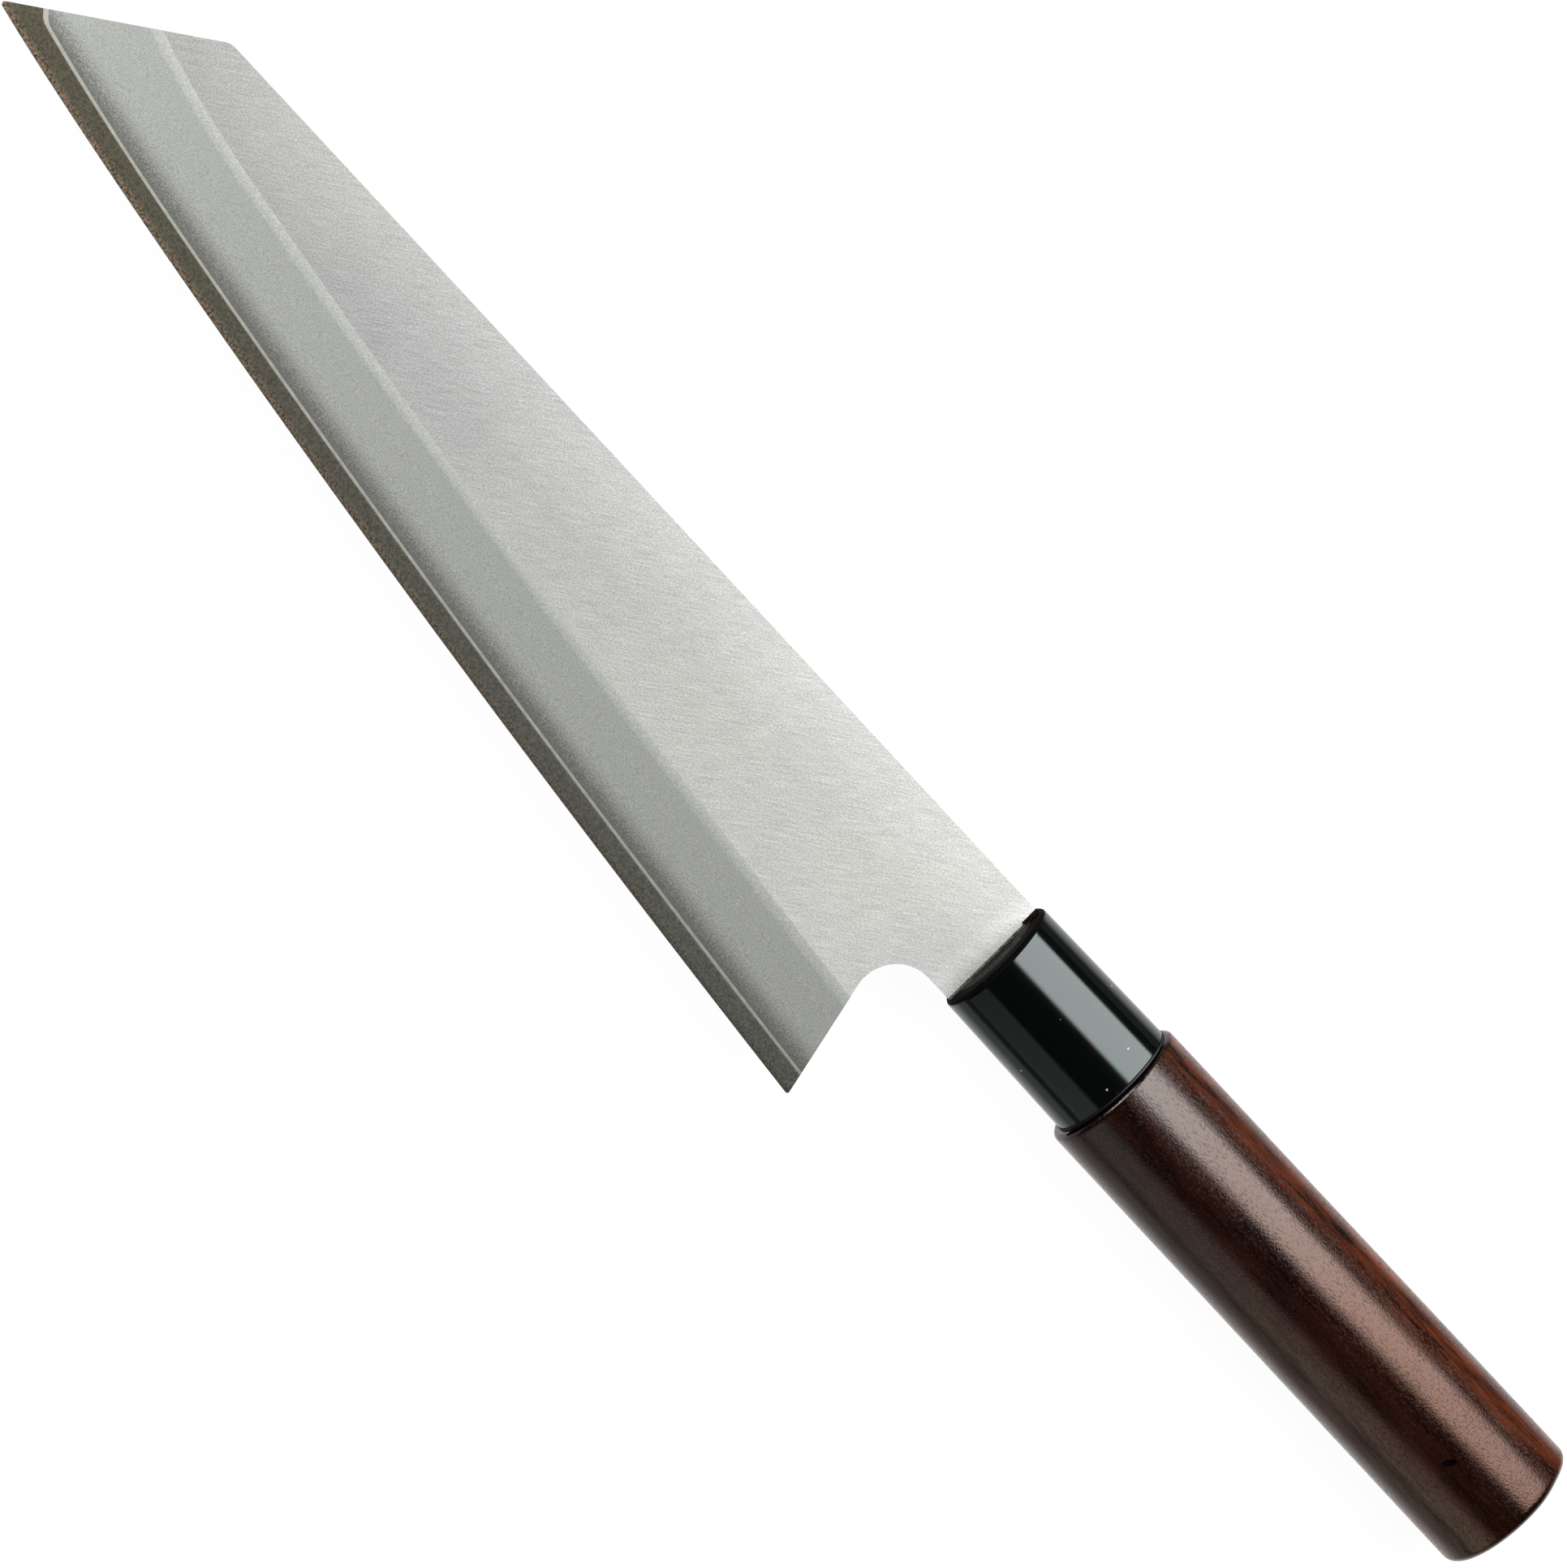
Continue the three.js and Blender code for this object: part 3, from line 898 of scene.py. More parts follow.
@dataclass
class Blade:
    """Laminated blade with its tang: one ground blank, sliced into the layers that it is welded from."""

    datum: Datum
    length: float = 215.88 * MM  # mouth of the ferrule to the corner of the tip
    tip_drop: float = 21.3 * MM
    tip_radius: float = 0.5 * MM
    clip_length: float = 28.7 * MM
    clip_corner_radius: float = 2.5 * MM
    heel_height: float = 48.79 * MM
    heel_setback: float = 6.55 * MM
    heel_lean: float = math.radians(15.3)
    heel_radius: float = 0.4 * MM
    choil_radius: float = 7.2 * MM
    neck_height: float = 19.8 * MM
    neck_depth: float = 3 * MM  # neck inside the ferrule
    edge_tip_angle: float = math.radians(12.5)
    edge_tip_reach: float = 26 * MM
    edge_heel_angle: float = math.radians(5.2)
    edge_heel_reach: float = 105 * MM
    edge_steps: int = 128
    stock_half: float = 1 * MM
    core_half: float = 0.3 * MM
    foil_thickness: float = 0.025 * MM
    bevel_width: float = 17.4 * MM
    bevel_tip_gain: float = 5 * MM
    bevel_tip_run: float = 45 * MM
    ridge_round: float = 1.6 * MM  # how far below the ridge its soft round starts
    edge_bevel: float = 0.5 * MM
    edge_bevel_half: float = 0.14 * MM
    edge_half: float = 0.03 * MM
    clip_dip: float = 0.13  # share of the thickness that polishing took along the clip
    clip_dip_width: float = 1.3 * MM
    clip_dip_height: Span = (6 * MM, 10 * MM)  # above the edge, where that fades out
    eased: float = 0.16 * MM  # round of the spine's edges
    tang_length: float = 80 * MM
    tang_half: float = 5.7 * MM
    tang_end_half: float = 3 * MM
    scratch_angle: float = math.radians(35)  # scratches of the flats against the spine
    overrun: float = 5 * MM  # of the ground form past the blade
    low_rows: Span = (7 * MM, 0.65 * MM)  # close rows of the ground form: up to where, and their step
    high_rows: float = 8 * MM  # from where they are wider apart
    high_row_count: int = 5
    ridge_row_count: int = 7
    straight: float = math.radians(0.02)  # bends of the outline up to this are left out
    flat_share: float = 0.999  # of the half thickness, from which a point is on a flat
    wall_angle: float = math.radians(60)  # least angle between a flat and the wall round it
    cut_angle: float = math.radians(30)  # off the flats, from which a face is a cut one
    crease: float = math.radians(20)

    def __post_init__(self) -> None:
        """Work out the corners of the outline and the rounds at both ends of the cutting edge."""
        self.tip = Vector((-self.length, -self.tip_drop, 0))
        self.clip_corner = Vector((self.clip_length - self.length, 0, 0))
        self.heel = Vector((-self.heel_setback, -self.heel_height, 0))
        rise = self.heel_height - self.neck_height
        self.choil = Vector((self.heel.x - rise * math.tan(self.heel_lean), -self.neck_height, 0))
        self.neck_end = Vector((self.neck_depth, -self.neck_height, 0))
        self.spine_end = Vector((self.neck_depth, 0, 0))
        self.edge_at_tip, self.edge_at_heel = (
            Vector((math.cos(angle), -math.sin(angle), 0))
            for angle in (self.edge_tip_angle, self.edge_heel_angle)
        )
        beyond_tip, before_heel = self.tip + self.edge_at_tip, self.heel - self.edge_at_heel
        self.tip_round = round_corner(self.clip_corner, self.tip, beyond_tip, self.tip_radius)
        self.heel_round = round_corner(before_heel, self.heel, self.choil, self.heel_radius)
        self.rail = np.zeros((0, 3))  # points along the cutting edge, once it is drawn

    def edge_ends(self) -> tuple[RailPoint, RailPoint]:
        """The two ends of the cutting edge, with the handles that curve it.

        Returns:
            The end at the tip and the end at the heel.
        """
        start, end = self.tip_round[1], self.heel_round[0]
        return (
            start._replace(after=start.at + self.edge_at_tip * self.edge_tip_reach),
            end._replace(before=end.at - self.edge_at_heel * self.edge_heel_reach),
        )

    def plate(self) -> bpy.types.Object:
        """The side view of the blade and tang, cut from thick plate.

        Returns:
            The mesh object.
        """
        axis = self.datum.axis_y
        tang = [
            Vector((self.neck_depth, axis - self.tang_half, 0)),
            Vector((self.tang_length, axis - self.tang_end_half, 0)),
            Vector((self.tang_length, axis + self.tang_end_half, 0)),
            Vector((self.neck_depth, axis + self.tang_half, 0)),
        ]
        outline = [
            *self.edge_ends(),
            self.heel_round[1],
            *round_corner(self.heel, self.choil, self.neck_end, self.choil_radius),
            *[RailPoint(corner) for corner in (self.neck_end, *tang, self.spine_end)],
            *round_corner(self.spine_end, self.clip_corner, self.tip, self.clip_corner_radius),
            self.tip_round[0],
        ]
        plate = draw_line("plate", outline, self.edge_steps, cyclic=True)
        half = 2 * self.stock_half
        with editing(plate):
            bpy.ops.mesh.dissolve_limited(angle_limit=self.straight)
            bpy.ops.mesh.select_all(action="SELECT")
            bpy.ops.transform.translate(value=(0, 0, -half))
            bpy.ops.mesh.edge_face_add()
            extrude(Vector((0, 0, 2 * half)))
            face_outwards()
        return plate

    def rows(self) -> list[Span]:
        """Height above the edge and half thickness for each row of the ground form.

        Returns:
            The pairs in order, from just below the edge up and over the top.
        """
        slope = (self.edge_bevel_half - self.edge_half) / self.edge_bevel
        round_start = self.bevel_width - self.ridge_round
        run = self.bevel_width - self.ridge_round / 2 - self.edge_bevel
        bevel_slope = (self.stock_half - self.edge_bevel_half) / run
        heights = [
            *np.arange(self.edge_bevel, *self.low_rows),
            *np.linspace(self.high_rows, round_start, self.high_row_count),
            *np.linspace(round_start, self.bevel_width, self.ridge_row_count)[1:],
        ]
        found = [(-self.edge_half / slope, 0.0)]
        for height in heights:
            half = self.edge_bevel_half + (height - self.edge_bevel) * bevel_slope
            if height > round_start:
                to_ridge = self.bevel_width - height
                half = self.stock_half - bevel_slope * to_ridge**2 / (2 * self.ridge_round)
            found.append((float(height), float(half)))
        top = self.heel_height + self.overrun
        return [*found, (top, self.stock_half), (top, 0.0)]

    def tip_gain(self, x: np.ndarray) -> np.ndarray:
        """How much wider the bevel is at places along the blade, near the tip."""
        fade = np.maximum(0, 1 - (x - self.tip.x) / self.bevel_tip_run)
        return self.bevel_tip_gain * fade**2

    def edge_height(self, x: np.ndarray) -> np.ndarray:
        """Height of the cutting edge at places along the blade."""
        return np.interp(x, self.rail[:, 0], self.rail[:, 1])

    def ground_bar(self) -> bpy.types.Object:
        """The ground form of the blade along its edge, longer and taller than the blade.

        Returns:
            The mesh object.
        """
        bar = draw_line("ground_blade", list(self.edge_ends()), self.edge_steps)
        rows = self.rows()
        with editing(bar):
            mesh = bmesh.from_edit_mesh(bar.data)
            ends = sorted((v for v in mesh.verts if len(v.link_edges) == 1), key=lambda v: v.co.x)
            reaches = [
                self.edge_at_tip * -self.overrun,
                Vector((self.tang_length + self.overrun - ends[1].co.x, 0, 0)),
            ]
            for end, reach in zip([v.index for v in ends], reaches):
                bpy.ops.mesh.select_all(action="DESELECT")
                mesh = bmesh.from_edit_mesh(bar.data)
                mesh.verts.ensure_lookup_table()
                mesh.verts[end].select_set(True)
                bmesh.update_edit_mesh(bar.data)
                extrude(reach)
            mesh = bmesh.from_edit_mesh(bar.data)
            self.rail = np.array(sorted(tuple(v.co) for v in mesh.verts))
            bpy.ops.mesh.select_all(action="SELECT")
            low, _ = rows[0]
            bpy.ops.transform.translate(value=(0, low, 0))
            for (low, low_half), (high, high_half) in zip(rows, rows[1:]):
                extrude(Vector((0, high - low, high_half - low_half)))
        self.shape_tip(bar)
        apply_modifier(
            bar, "MIRROR", use_axis=(False, False, True), use_mirror_merge=True, merge_threshold=HAIR
        )
        with editing(bar):
            bpy.ops.mesh.fill_holes(sides=0)
            face_outwards()
        return bar

    def shape_tip(self, bar: bpy.types.Object) -> None:
        """Widen the bevel towards the tip and thin it along the clip, as hand grinding leaves it.

        Args:
            bar: The ground form, before it is mirrored.
        """
        points = points_of(bar)
        height = points[:, 1] - self.edge_height(points[:, 0])
        share = np.clip((height - self.edge_bevel) / (self.bevel_width - self.edge_bevel), 0, 1)
        points[:, 1] += self.tip_gain(points[:, 0]) * share
        along = (self.clip_corner - self.tip).normalized()
        inside = (points[:, 0] - self.tip.x) * along.y - (points[:, 1] - self.tip.y) * along.x
        start, end = self.clip_dip_height
        low_down = np.clip(1 - (height - start) / (end - start), 0, 1)
        near_clip = np.exp(-((np.maximum(inside, 0) / self.clip_dip_width) ** 2))
        points[:, 2] *= 1 - self.clip_dip * near_clip * low_down
        move_points(bar, points)

    def ground_blank(self) -> bpy.types.Object:
        """The whole ground blade as one solid, with the edges of its spine eased.

        Returns:
            The mesh object.
        """
        blank = self.ground_bar()
        cut_with(blank, self.plate(), Cut.KEEP_SHARED)
        limit = self.stock_half * self.flat_share

        def is_outer_edge(edge: bmesh.types.BMEdge) -> bool:
            """Whether an edge lies between a flat and the wall around it, ahead of the ferrule."""
            on_flat = all(abs(v.co.z) > limit and v.co.x < -HAIR for v in edge.verts)
            return on_flat and len(edge.link_faces) == 2 and edge.calc_face_angle() > self.wall_angle

        with editing(blank):
            face_outwards()
            pick(blank, Element.EDGE, is_outer_edge)
            bpy.ops.mesh.bevel(offset=self.eased, segments=EASE_STEPS, profile=ARC, clamp_overlap=True)
        return blank

    def layers(self) -> list[Layer]:
        """The sheets of the laminate.

        Returns:
            The core, the foils and the claddings.
        """
        core, foil = self.core_half, self.core_half + self.foil_thickness
        return [
            Layer("core_steel", -core, core, "core"),
            Layer("left_foil", core, foil, "foil"),
            Layer("right_foil", -foil, -core, "foil"),
            Layer("left_cladding", foil, None, "cladding"),
            Layer("right_cladding", None, -foil, "cladding"),
        ]

    def slice(self, blank: bpy.types.Object, layer: Layer) -> bpy.types.Object:
        """One layer of the blank, cut out between its two levels.

        Args:
            blank: The ground blade.
            layer: The layer.

        Returns:
            The mesh object.
        """
        piece = copy_of(blank, f"{layer.node}_sheet")
        for level, waste in ((layer.low, "clear_inner"), (layer.high, "clear_outer")):
            if level is None:
                continue
            cut = {"plane_co": (0, 0, level), "plane_no": (0, 0, 1), waste: True}
            with editing(piece):
                bpy.ops.mesh.bisect(use_fill=True, threshold=HAIR, **cut)
        return piece

    def mark(self, piece: bpy.types.Object) -> None:
        """Give a layer the heights and the brush map that its finishes read.

        Args:
            piece: The layer's mesh object.
        """
        mesh = piece.data
        points = points_of(piece)
        height = points[:, 1] - self.edge_height(points[:, 0])
        ridge = height - self.bevel_width - self.tip_gain(points[:, 0])
        for name, values in ((ABOVE_EDGE, height), (ABOVE_RIDGE, ridge)):
            attribute = mesh.attributes.new(name, "FLOAT", "POINT")
            attribute.data.foreach_set("value", values.astype(np.float32))
        corners = np.array([loop.vertex_index for loop in mesh.loops])
        along, across = math.cos(self.scratch_angle), math.sin(self.scratch_angle)
        x, y = points[corners, 0], points[corners, 1]
        brush = np.stack([x * along + y * across, y * along - x * across], 1)
        mesh.uv_layers.new(name=BRUSH_MAP).uv.foreach_set("vector", brush.astype(np.float32).ravel())

    def share_out(self, cladding: bpy.types.Object) -> None:
        """Share out a cladding's three finishes to its flats, its bevel and its cut faces.

        Args:
            cladding: The cladding, which has the finishes in that order.
        """
        ridge = np.zeros(len(cladding.data.vertices), np.float32)
        cladding.data.attributes[ABOVE_RIDGE].data.foreach_get("value", ridge)
        flats, bevel, cut_faces = range(3)
        for face in cladding.data.polygons:
            middle = ridge[list(face.vertices)].mean()
            face.material_index = flats if middle > 0 else bevel
            if abs(face.normal.z) < math.cos(self.cut_angle):
                face.material_index = cut_faces

    def build(self) -> None:
        """Model the layers, dress them and set them in place."""
        blank = self.ground_blank()
        flats = BrushedStainless(spine_y=self.datum.origin.y, mouth_x=self.datum.origin.x)
        finishes = {
            "cladding": [flats.material(), SatinBevel().material(), GroundEdge().material()],
            "core": [CoreSteel().material()],
            "foil": [NickelFoil().material()],
        }
        for layer in self.layers():
            piece = self.slice(blank, layer)
            self.mark(piece)
            for finish in finishes[layer.slot]:
                piece.data.materials.append(finish)
            if layer.slot == "cladding":
                self.share_out(piece)
            shade(piece, self.crease)
            settle(piece, self.datum, layer.node)
        bpy.data.objects.remove(blank)


@dataclass
class Ferrule:
    """Moulded collar: lipped oval tube with the neck's slot in its front wall."""

    datum: Datum
    sides: int = 128
    wall: float = 2 * MM
    front_wall: float = 4 * MM
    lip_radius: float = 1.0 * MM
    rear_ease: float = 0.15 * MM
    slot_half: Vector = Vector((8 * MM, 10.05 * MM, 1.15 * MM))
    slot_middle: float = -9.9 * MM
    front_rings: Span = (1.7 * MM, 2.4 * MM)  # widths of the dark ring and of the paler ring on the front face
    square_on: float = -0.999  # normal along x up to which a face is square to the handle
    front_from: float = -0.95  # up to which it is on the tilted front face
    lip_from: float = -0.35  # and up to which the lip is worn dull
    crease: float = math.radians(35)

    def collar(self) -> bpy.types.Object:
        """The lipped tube with its closed front wall.

        Returns:
            The mesh object.
        """
        mouth, rear, length = self.datum.ferrule_mouth, self.datum.ferrule_rear, self.datum.ferrule_length
        middle = Vector((0, self.datum.axis_y, 0))
        inside_rim = rear.scaled(rear.height - self.wall / 2)

        def is_front_face(face: bmesh.types.BMFace) -> bool:
            """Whether a face is on the front end."""
            return face.normal.x < self.square_on and face.calc_center_median().x < HAIR

        def is_rear_rim(edge: bmesh.types.BMEdge) -> bool:
            """Whether an edge is on the outer rim of the rear end."""
            at_rear = all(abs(v.co.x - length) < HAIR for v in edge.verts)
            return at_rear and all(inside_rim.reach(v.co - middle) > 1 for v in edge.verts)

        piece = oval_disc("ferrule_collar", mouth, middle, self.sides)
        with editing(piece):
            extrude(Vector((length, 0, 0)))
            grow = (1, rear.height / mouth.height, rear.thickness / mouth.thickness)
            bpy.ops.transform.resize(value=grow, center_override=middle + Vector((length, 0, 0)))
            bpy.ops.mesh.inset(thickness=self.wall)
            extrude(Vector((self.front_wall - length, 0, 0)))
            face_outwards()
            pick(piece, Element.EDGE, lambda edge: all(abs(v.co.x) < HAIR for v in edge.verts))
            bpy.ops.mesh.bevel(offset=self.lip_radius, segments=ROUND_STEPS, profile=ARC)
            pick(piece, Element.FACE, is_front_face)
            for width in self.front_rings:
                bpy.ops.mesh.inset(thickness=width)
            lip_end = self.lip_radius + HAIR
            pick(piece, Element.EDGE, lambda edge: all(v.co.x < lip_end for v in edge.verts))
            tilt_mouth(self.datum)
            pick(piece, Element.EDGE, is_rear_rim)
            bpy.ops.mesh.bevel(offset=self.rear_ease, segments=EASE_STEPS, profile=ARC)
        return piece

    def dress(self, piece: bpy.types.Object) -> None:
        """Leave the tube polished and wear the lip dull, with a paler ring round the front's dull middle.

        Args:
            piece: The ferrule.
        """
        # matte settings shared by the paler ring and the dull middle
        dust = {"cloud": 0.3 * MM, "roughness": 0.7, "index": 1.06}
        for finish in (
            MouldedPlastic(),
            CuredResin("worn_plastic_lip", "#030303", "#0b0b0a", cloud=0.4 * MM, roughness=0.6, index=1.1),
            CuredResin("dusty_moulded_plastic", "#2c2d28", "#50524b", **dust),
            CuredResin("dull_moulded_plastic", "#20211e", "#3b3d37", **dust),
        ):
            piece.data.materials.append(finish.material())
        dark, pale_ring_width = self.front_rings
        mouth, middle = self.datum.ferrule_mouth, Vector((0, self.datum.axis_y, 0))
        zones = [mouth.grown(-self.lip_radius - inset) for inset in (dark, dark + pale_ring_width)]
        for face in piece.data.polygons:
            if face.normal.x < self.lip_from:
                face.material_index = 1
            if face.normal.x < self.front_from:
                face.material_index += sum(zone.reach(face.center - middle) < 1 for zone in zones)

    def build(self) -> None:
        """Model the ferrule, dress it and set it in place."""
        piece = self.collar()
        slot_middle = Vector((0, self.slot_middle, 0))
        slot = block("slot", slot_middle - self.slot_half, slot_middle + self.slot_half)
        cut_with(piece, slot, Cut.TAKE_AWAY)
        self.dress(piece)
        shade(piece, self.crease)
        settle(piece, self.datum, "ferrule")


@dataclass
class Grip:
    """Oval wooden handle with a tenon at its front and the mortise for the tang."""

    datum: Datum
    sides: int = 96
    rings: int = 72
    glue_line: float = 0.3 * MM
    step: float = 1.35 * MM
    shoulder_radius: float = 1.1 * MM
    butt_radius: float = 1.8 * MM
    butt_clearance: float = 1.5  # last ring ahead of the butt, in radii of its round
    tenon_inset: float = 2.3 * MM  # tenon inside the outside of the ferrule
    tenon_front: float = 4.5 * MM
    mortise_half_width: float = 2 * MM
    mortise_front_half: float = 6.7 * MM
    mortise_end_half: float = 4 * MM
    mortise_end: float = 81 * MM
    wave: float = 26 * MM  # waviness that hand sanding left
    wave_depth: float = 0.1 * MM
    wave_level: float = 1.1  # above 1, the sanding goes inwards everywhere
    flank_y: float = 9.5 * MM  # where the spine side is sanded flatter, above the axis
    flank_width: float = 3.2 * MM
    flank_depth: float = 0.7 * MM
    flank_fade: float = 3 * MM  # off the middle plane, up to where that fades in
    painted_shade_rim: float = 4.5 * MM  # off the middle plane, from where the shoulder is drawn dark: partly glue, partly painted shade
    dark_from: float = -0.7  # normal along x up to which it is drawn dark
    nick_at: Vector = Vector((110.8 * MM, -12.07 * MM, 10.5 * MM))
    nick_size: Vector = Vector((1.35 * MM, 0.6 * MM, 0.6 * MM))
    nick_turn: float = math.radians(58)
    nick_steps: int = 3
    crease: float = math.radians(35)

    def __post_init__(self) -> None:
        """Work out where the shoulder is."""
        self.shoulder = self.datum.ferrule_length + self.glue_line

    def blank(self) -> bpy.types.Object:
        """The oval bar of the handle, swelling to the butt, with its rims rounded.

        Returns:
            The mesh object.
        """
        start, end, axis = self.shoulder, self.datum.butt_x, self.datum.grip_y
        front = self.datum.ferrule_rear.grown(self.step)
        swell = (self.datum.butt_half - front.height) / (end - start)
        stations = [*np.linspace(start, end - self.butt_clearance * self.butt_radius, self.rings), end]
        piece = oval_disc("wooden_grip", front, Vector((start, axis, 0)), self.sides)
        with editing(piece):
            for before, here in zip(stations, stations[1:]):
                extrude(Vector((here - before, 0, 0)))
                size = (front.height + swell * (here - start)) / (front.height + swell * (before - start))
                bpy.ops.transform.resize(value=(1, size, size), center_override=Vector((here, axis, 0)))
            face_outwards()
            for x, radius in ((start, self.shoulder_radius), (end, self.butt_radius)):
                pick(piece, Element.EDGE, lambda edge: all(abs(v.co.x - x) < NEAR for v in edge.verts))
                bpy.ops.mesh.bevel(offset=radius, segments=ROUND_STEPS, profile=ARC)
        return piece

    def sand(self, piece: bpy.types.Object) -> None:
        """Sand the spine side flatter, and leave a slight waviness all over, always inwards.

        Args:
            piece: The bar of the handle.
        """
        points = points_of(piece)
        off_flank = (points[:, 1] - self.datum.grip_y - self.flank_y) / self.flank_width
        off_rim = np.clip(points[:, 2] / self.flank_fade, -1, 1)
        points[:, 2] -= off_rim * self.flank_depth * np.exp(-(off_flank**2))
        move_points(piece, points)
        roughen(piece, "hand_sanding", self.wave, self.wave_depth, self.wave_level)

    def mortise(self) -> bpy.types.Object:
        """The tapered hole for the tang, as a cutting tool.

        Returns:
            The tool.
        """
        axis = self.datum.axis_y
        half = Vector((0, self.mortise_front_half, self.mortise_half_width))
        front = Vector((self.tenon_front - self.step, axis, 0))
        end = Vector((self.mortise_end, axis, 0))
        tool = block("mortise", front - half, end + half)
        with editing(tool):
            pick(tool, Element.FACE, lambda face: face.normal.x > FACING)
            taper = self.mortise_end_half / self.mortise_front_half
            bpy.ops.transform.resize(value=(1, taper, 1), center_override=end)
        return tool

    def nick(self) -> bpy.types.Object:
        """The small gouge near the butt, as a cutting tool in its own dark finish, partly bruised wood and
        partly painted shade.

        Returns:
            The tool.
        """
        bpy.ops.object.select_all(action="DESELECT")
        bpy.ops.mesh.primitive_ico_sphere_add(subdivisions=self.nick_steps, radius=1, location=self.nick_at)
        tool = bpy.context.object
        tool.scale = self.nick_size
        tool.rotation_euler = (0, 0, self.nick_turn)
        bpy.ops.object.transform_apply(location=True, rotation=True, scale=True)
        stain = CuredResin(
            "dark_end_grain", "#040302", "#0d0604", cloud=0.4 * MM, roughness=0.7, index=1.05
        )
        tool.data.materials.append(stain.material())
        return tool

    def build(self) -> None:
        """Model the grip, dress it and set it in place."""
        datum = self.datum
        piece = self.blank()
        self.sand(piece)
        start = Vector((self.tenon_front, datum.axis_y, 0))
        length = datum.ferrule_length + 2 * self.step - self.tenon_front
        tenon = oval_bar("tenon", datum.ferrule_rear.grown(-self.tenon_inset), start, length, self.sides)
        cut_with(piece, tenon, Cut.JOIN)
        cut_with(piece, self.mortise(), Cut.TAKE_AWAY)
        wood = StainedWood(
            axis_y=datum.origin.y + datum.axis_y, shoulder_x=datum.origin.x + self.shoulder
        )
        piece.data.materials.append(wood.material())
        cut_with(piece, self.nick(), Cut.TAKE_AWAY)
        # painted shade, partly glue: shoulder faces off the middle plane take the nick's dark finish
        rim = self.shoulder + self.shoulder_radius
        for face in piece.data.polygons:
            at_shoulder = face.normal.x < self.dark_from and face.center.x < rim
            if at_shoulder and abs(face.center.z) > self.painted_shade_rim:
                face.material_index = 1
        shade(piece, self.crease)
        settle(piece, datum, "grip")


@dataclass
class Joints:
    """The resin and glue of the handle: the bead at the neck, the ring at the shoulder, the tang's bed."""

    datum: Datum
    sides: int = 96
    film_inset: float = 2.05 * MM  # from the outside of the ferrule to the outside of the film
    hole_inset: float = 2.25 * MM  # and to its inside
    film_front: float = 4.5 * MM
    film_crease: float = math.radians(35)
    ring_proud: float = 0.12 * MM
    ring_width: float = 0.3 * MM
    seal_reach: float = 0.32 * MM
    seal_blob: float = 0.38 * MM  # extra reach at its upper end
    seal_blob_length: float = 3 * MM
    seal_front: float = 0.08 * MM
    seal_rear: float = 0.3 * MM
    seal_cuts: int = 60
    seal_raggedness: float = 0.22 * MM
    seal_level: float = 0.55  # a little more of it inwards than outwards
    seal_lump: float = 0.7 * MM
    seal_crease: float = math.radians(60)
    neck_half_height: float = 9.95 * MM
    neck_half: float = 1.02 * MM
    neck_middle: float = -9.9 * MM
    neck_overrun: float = 1.28 * MM  # of the tool that cuts the neck's way

    def seal(self) -> None:
        """Model the ragged bead of resin round the neck, dress it and set it in place."""
        bottom = self.neck_middle - self.neck_half_height
        top = self.neck_middle + self.neck_half_height
        blob = top - self.seal_blob_length
        half = self.neck_half + self.seal_rear
        low, high = Vector((-self.seal_reach, bottom, -half)), Vector((0, top, half))
        bead = block("neck_bead", low, high)
        with editing(bead):
            pick(bead, Element.FACE, lambda face: face.normal.x < -FACING)
            slim = (self.neck_half + self.seal_front) / half
            bpy.ops.transform.resize(value=(1, 1, slim), center_override=(low.x, 0, 0))
            pick(bead, Element.EDGE, lambda edge: abs(edge.verts[0].co.y - edge.verts[1].co.y) > MM)
            bpy.ops.mesh.subdivide(number_cuts=self.seal_cuts)
            front = low.x / 2
            pick(bead, Element.EDGE, lambda edge: all(v.co.x < front and v.co.y > blob for v in edge.verts))
            bpy.ops.transform.translate(value=(-self.seal_blob, 0, 0))
            bpy.ops.mesh.select_all(action="SELECT")
            tilt_mouth(self.datum)
        roughen(bead, "resin_lumps", self.seal_lump, self.seal_raggedness, self.seal_level)
        past = self.neck_overrun
        neck_low = Vector((-past, bottom - past, -self.neck_half))
        neck_high = Vector((past, top + past, self.neck_half))
        cut_with(bead, block("neck", neck_low, neck_high), Cut.TAKE_AWAY)
        dull = {"cloud": 0.5 * MM, "roughness": 0.7, "index": 1.1}
        for finish in (
            CuredResin("dusty_resin", "#3a3a35", "#787870", **dull),
            CuredResin("sealing_resin", "#080605", "#2a160f", **dull),
        ):
            bead.data.materials.append(finish.material())
        for face in bead.data.polygons:
            face.material_index = int(face.center.y > blob)
        shade(bead, self.seal_crease)
        settle(bead, self.datum, "neck_seal")

    def glue(self) -> None:
        """Model the glue film with the ring at the shoulder, dress it and set it in place."""
        rear, length = self.datum.ferrule_rear, self.datum.ferrule_length
        end = length + self.ring_width
        film, ring, hole = (
            oval_bar(name, rear.grown(growth), Vector((start, self.datum.axis_y, 0)), run, self.sides)
            for name, growth, start, run in (
                ("shoulder_glue", -self.film_inset, self.film_front, end - self.film_front),
                ("ring", self.ring_proud, length, self.ring_width),
                ("hole", -self.hole_inset, 0, 2 * end),
            )
        )
        cut_with(film, ring, Cut.JOIN)
        cut_with(film, hole, Cut.TAKE_AWAY)
        film.data.materials.append(CuredResin("black_glue", "#040404", "#0b0a09").material())
        shade(film, self.film_crease)
        settle(film, self.datum, "ferrule_glue")

    def build(self, nodes: dict[str, bpy.types.Object]) -> None:
        """Model the seal and the glue, and dress the hidden bed of the tang.

        Args:
            nodes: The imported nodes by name.
        """
        self.seal()
        self.glue()
        resin = CuredResin("bedding_resin", "#6b5530", "#8a7040", cloud=3 * MM).material()
        for place in nodes["tang_bedding"].material_slots:
            place.material = resin
        log.info("tang_bedding: packed node with resin")


# The studio


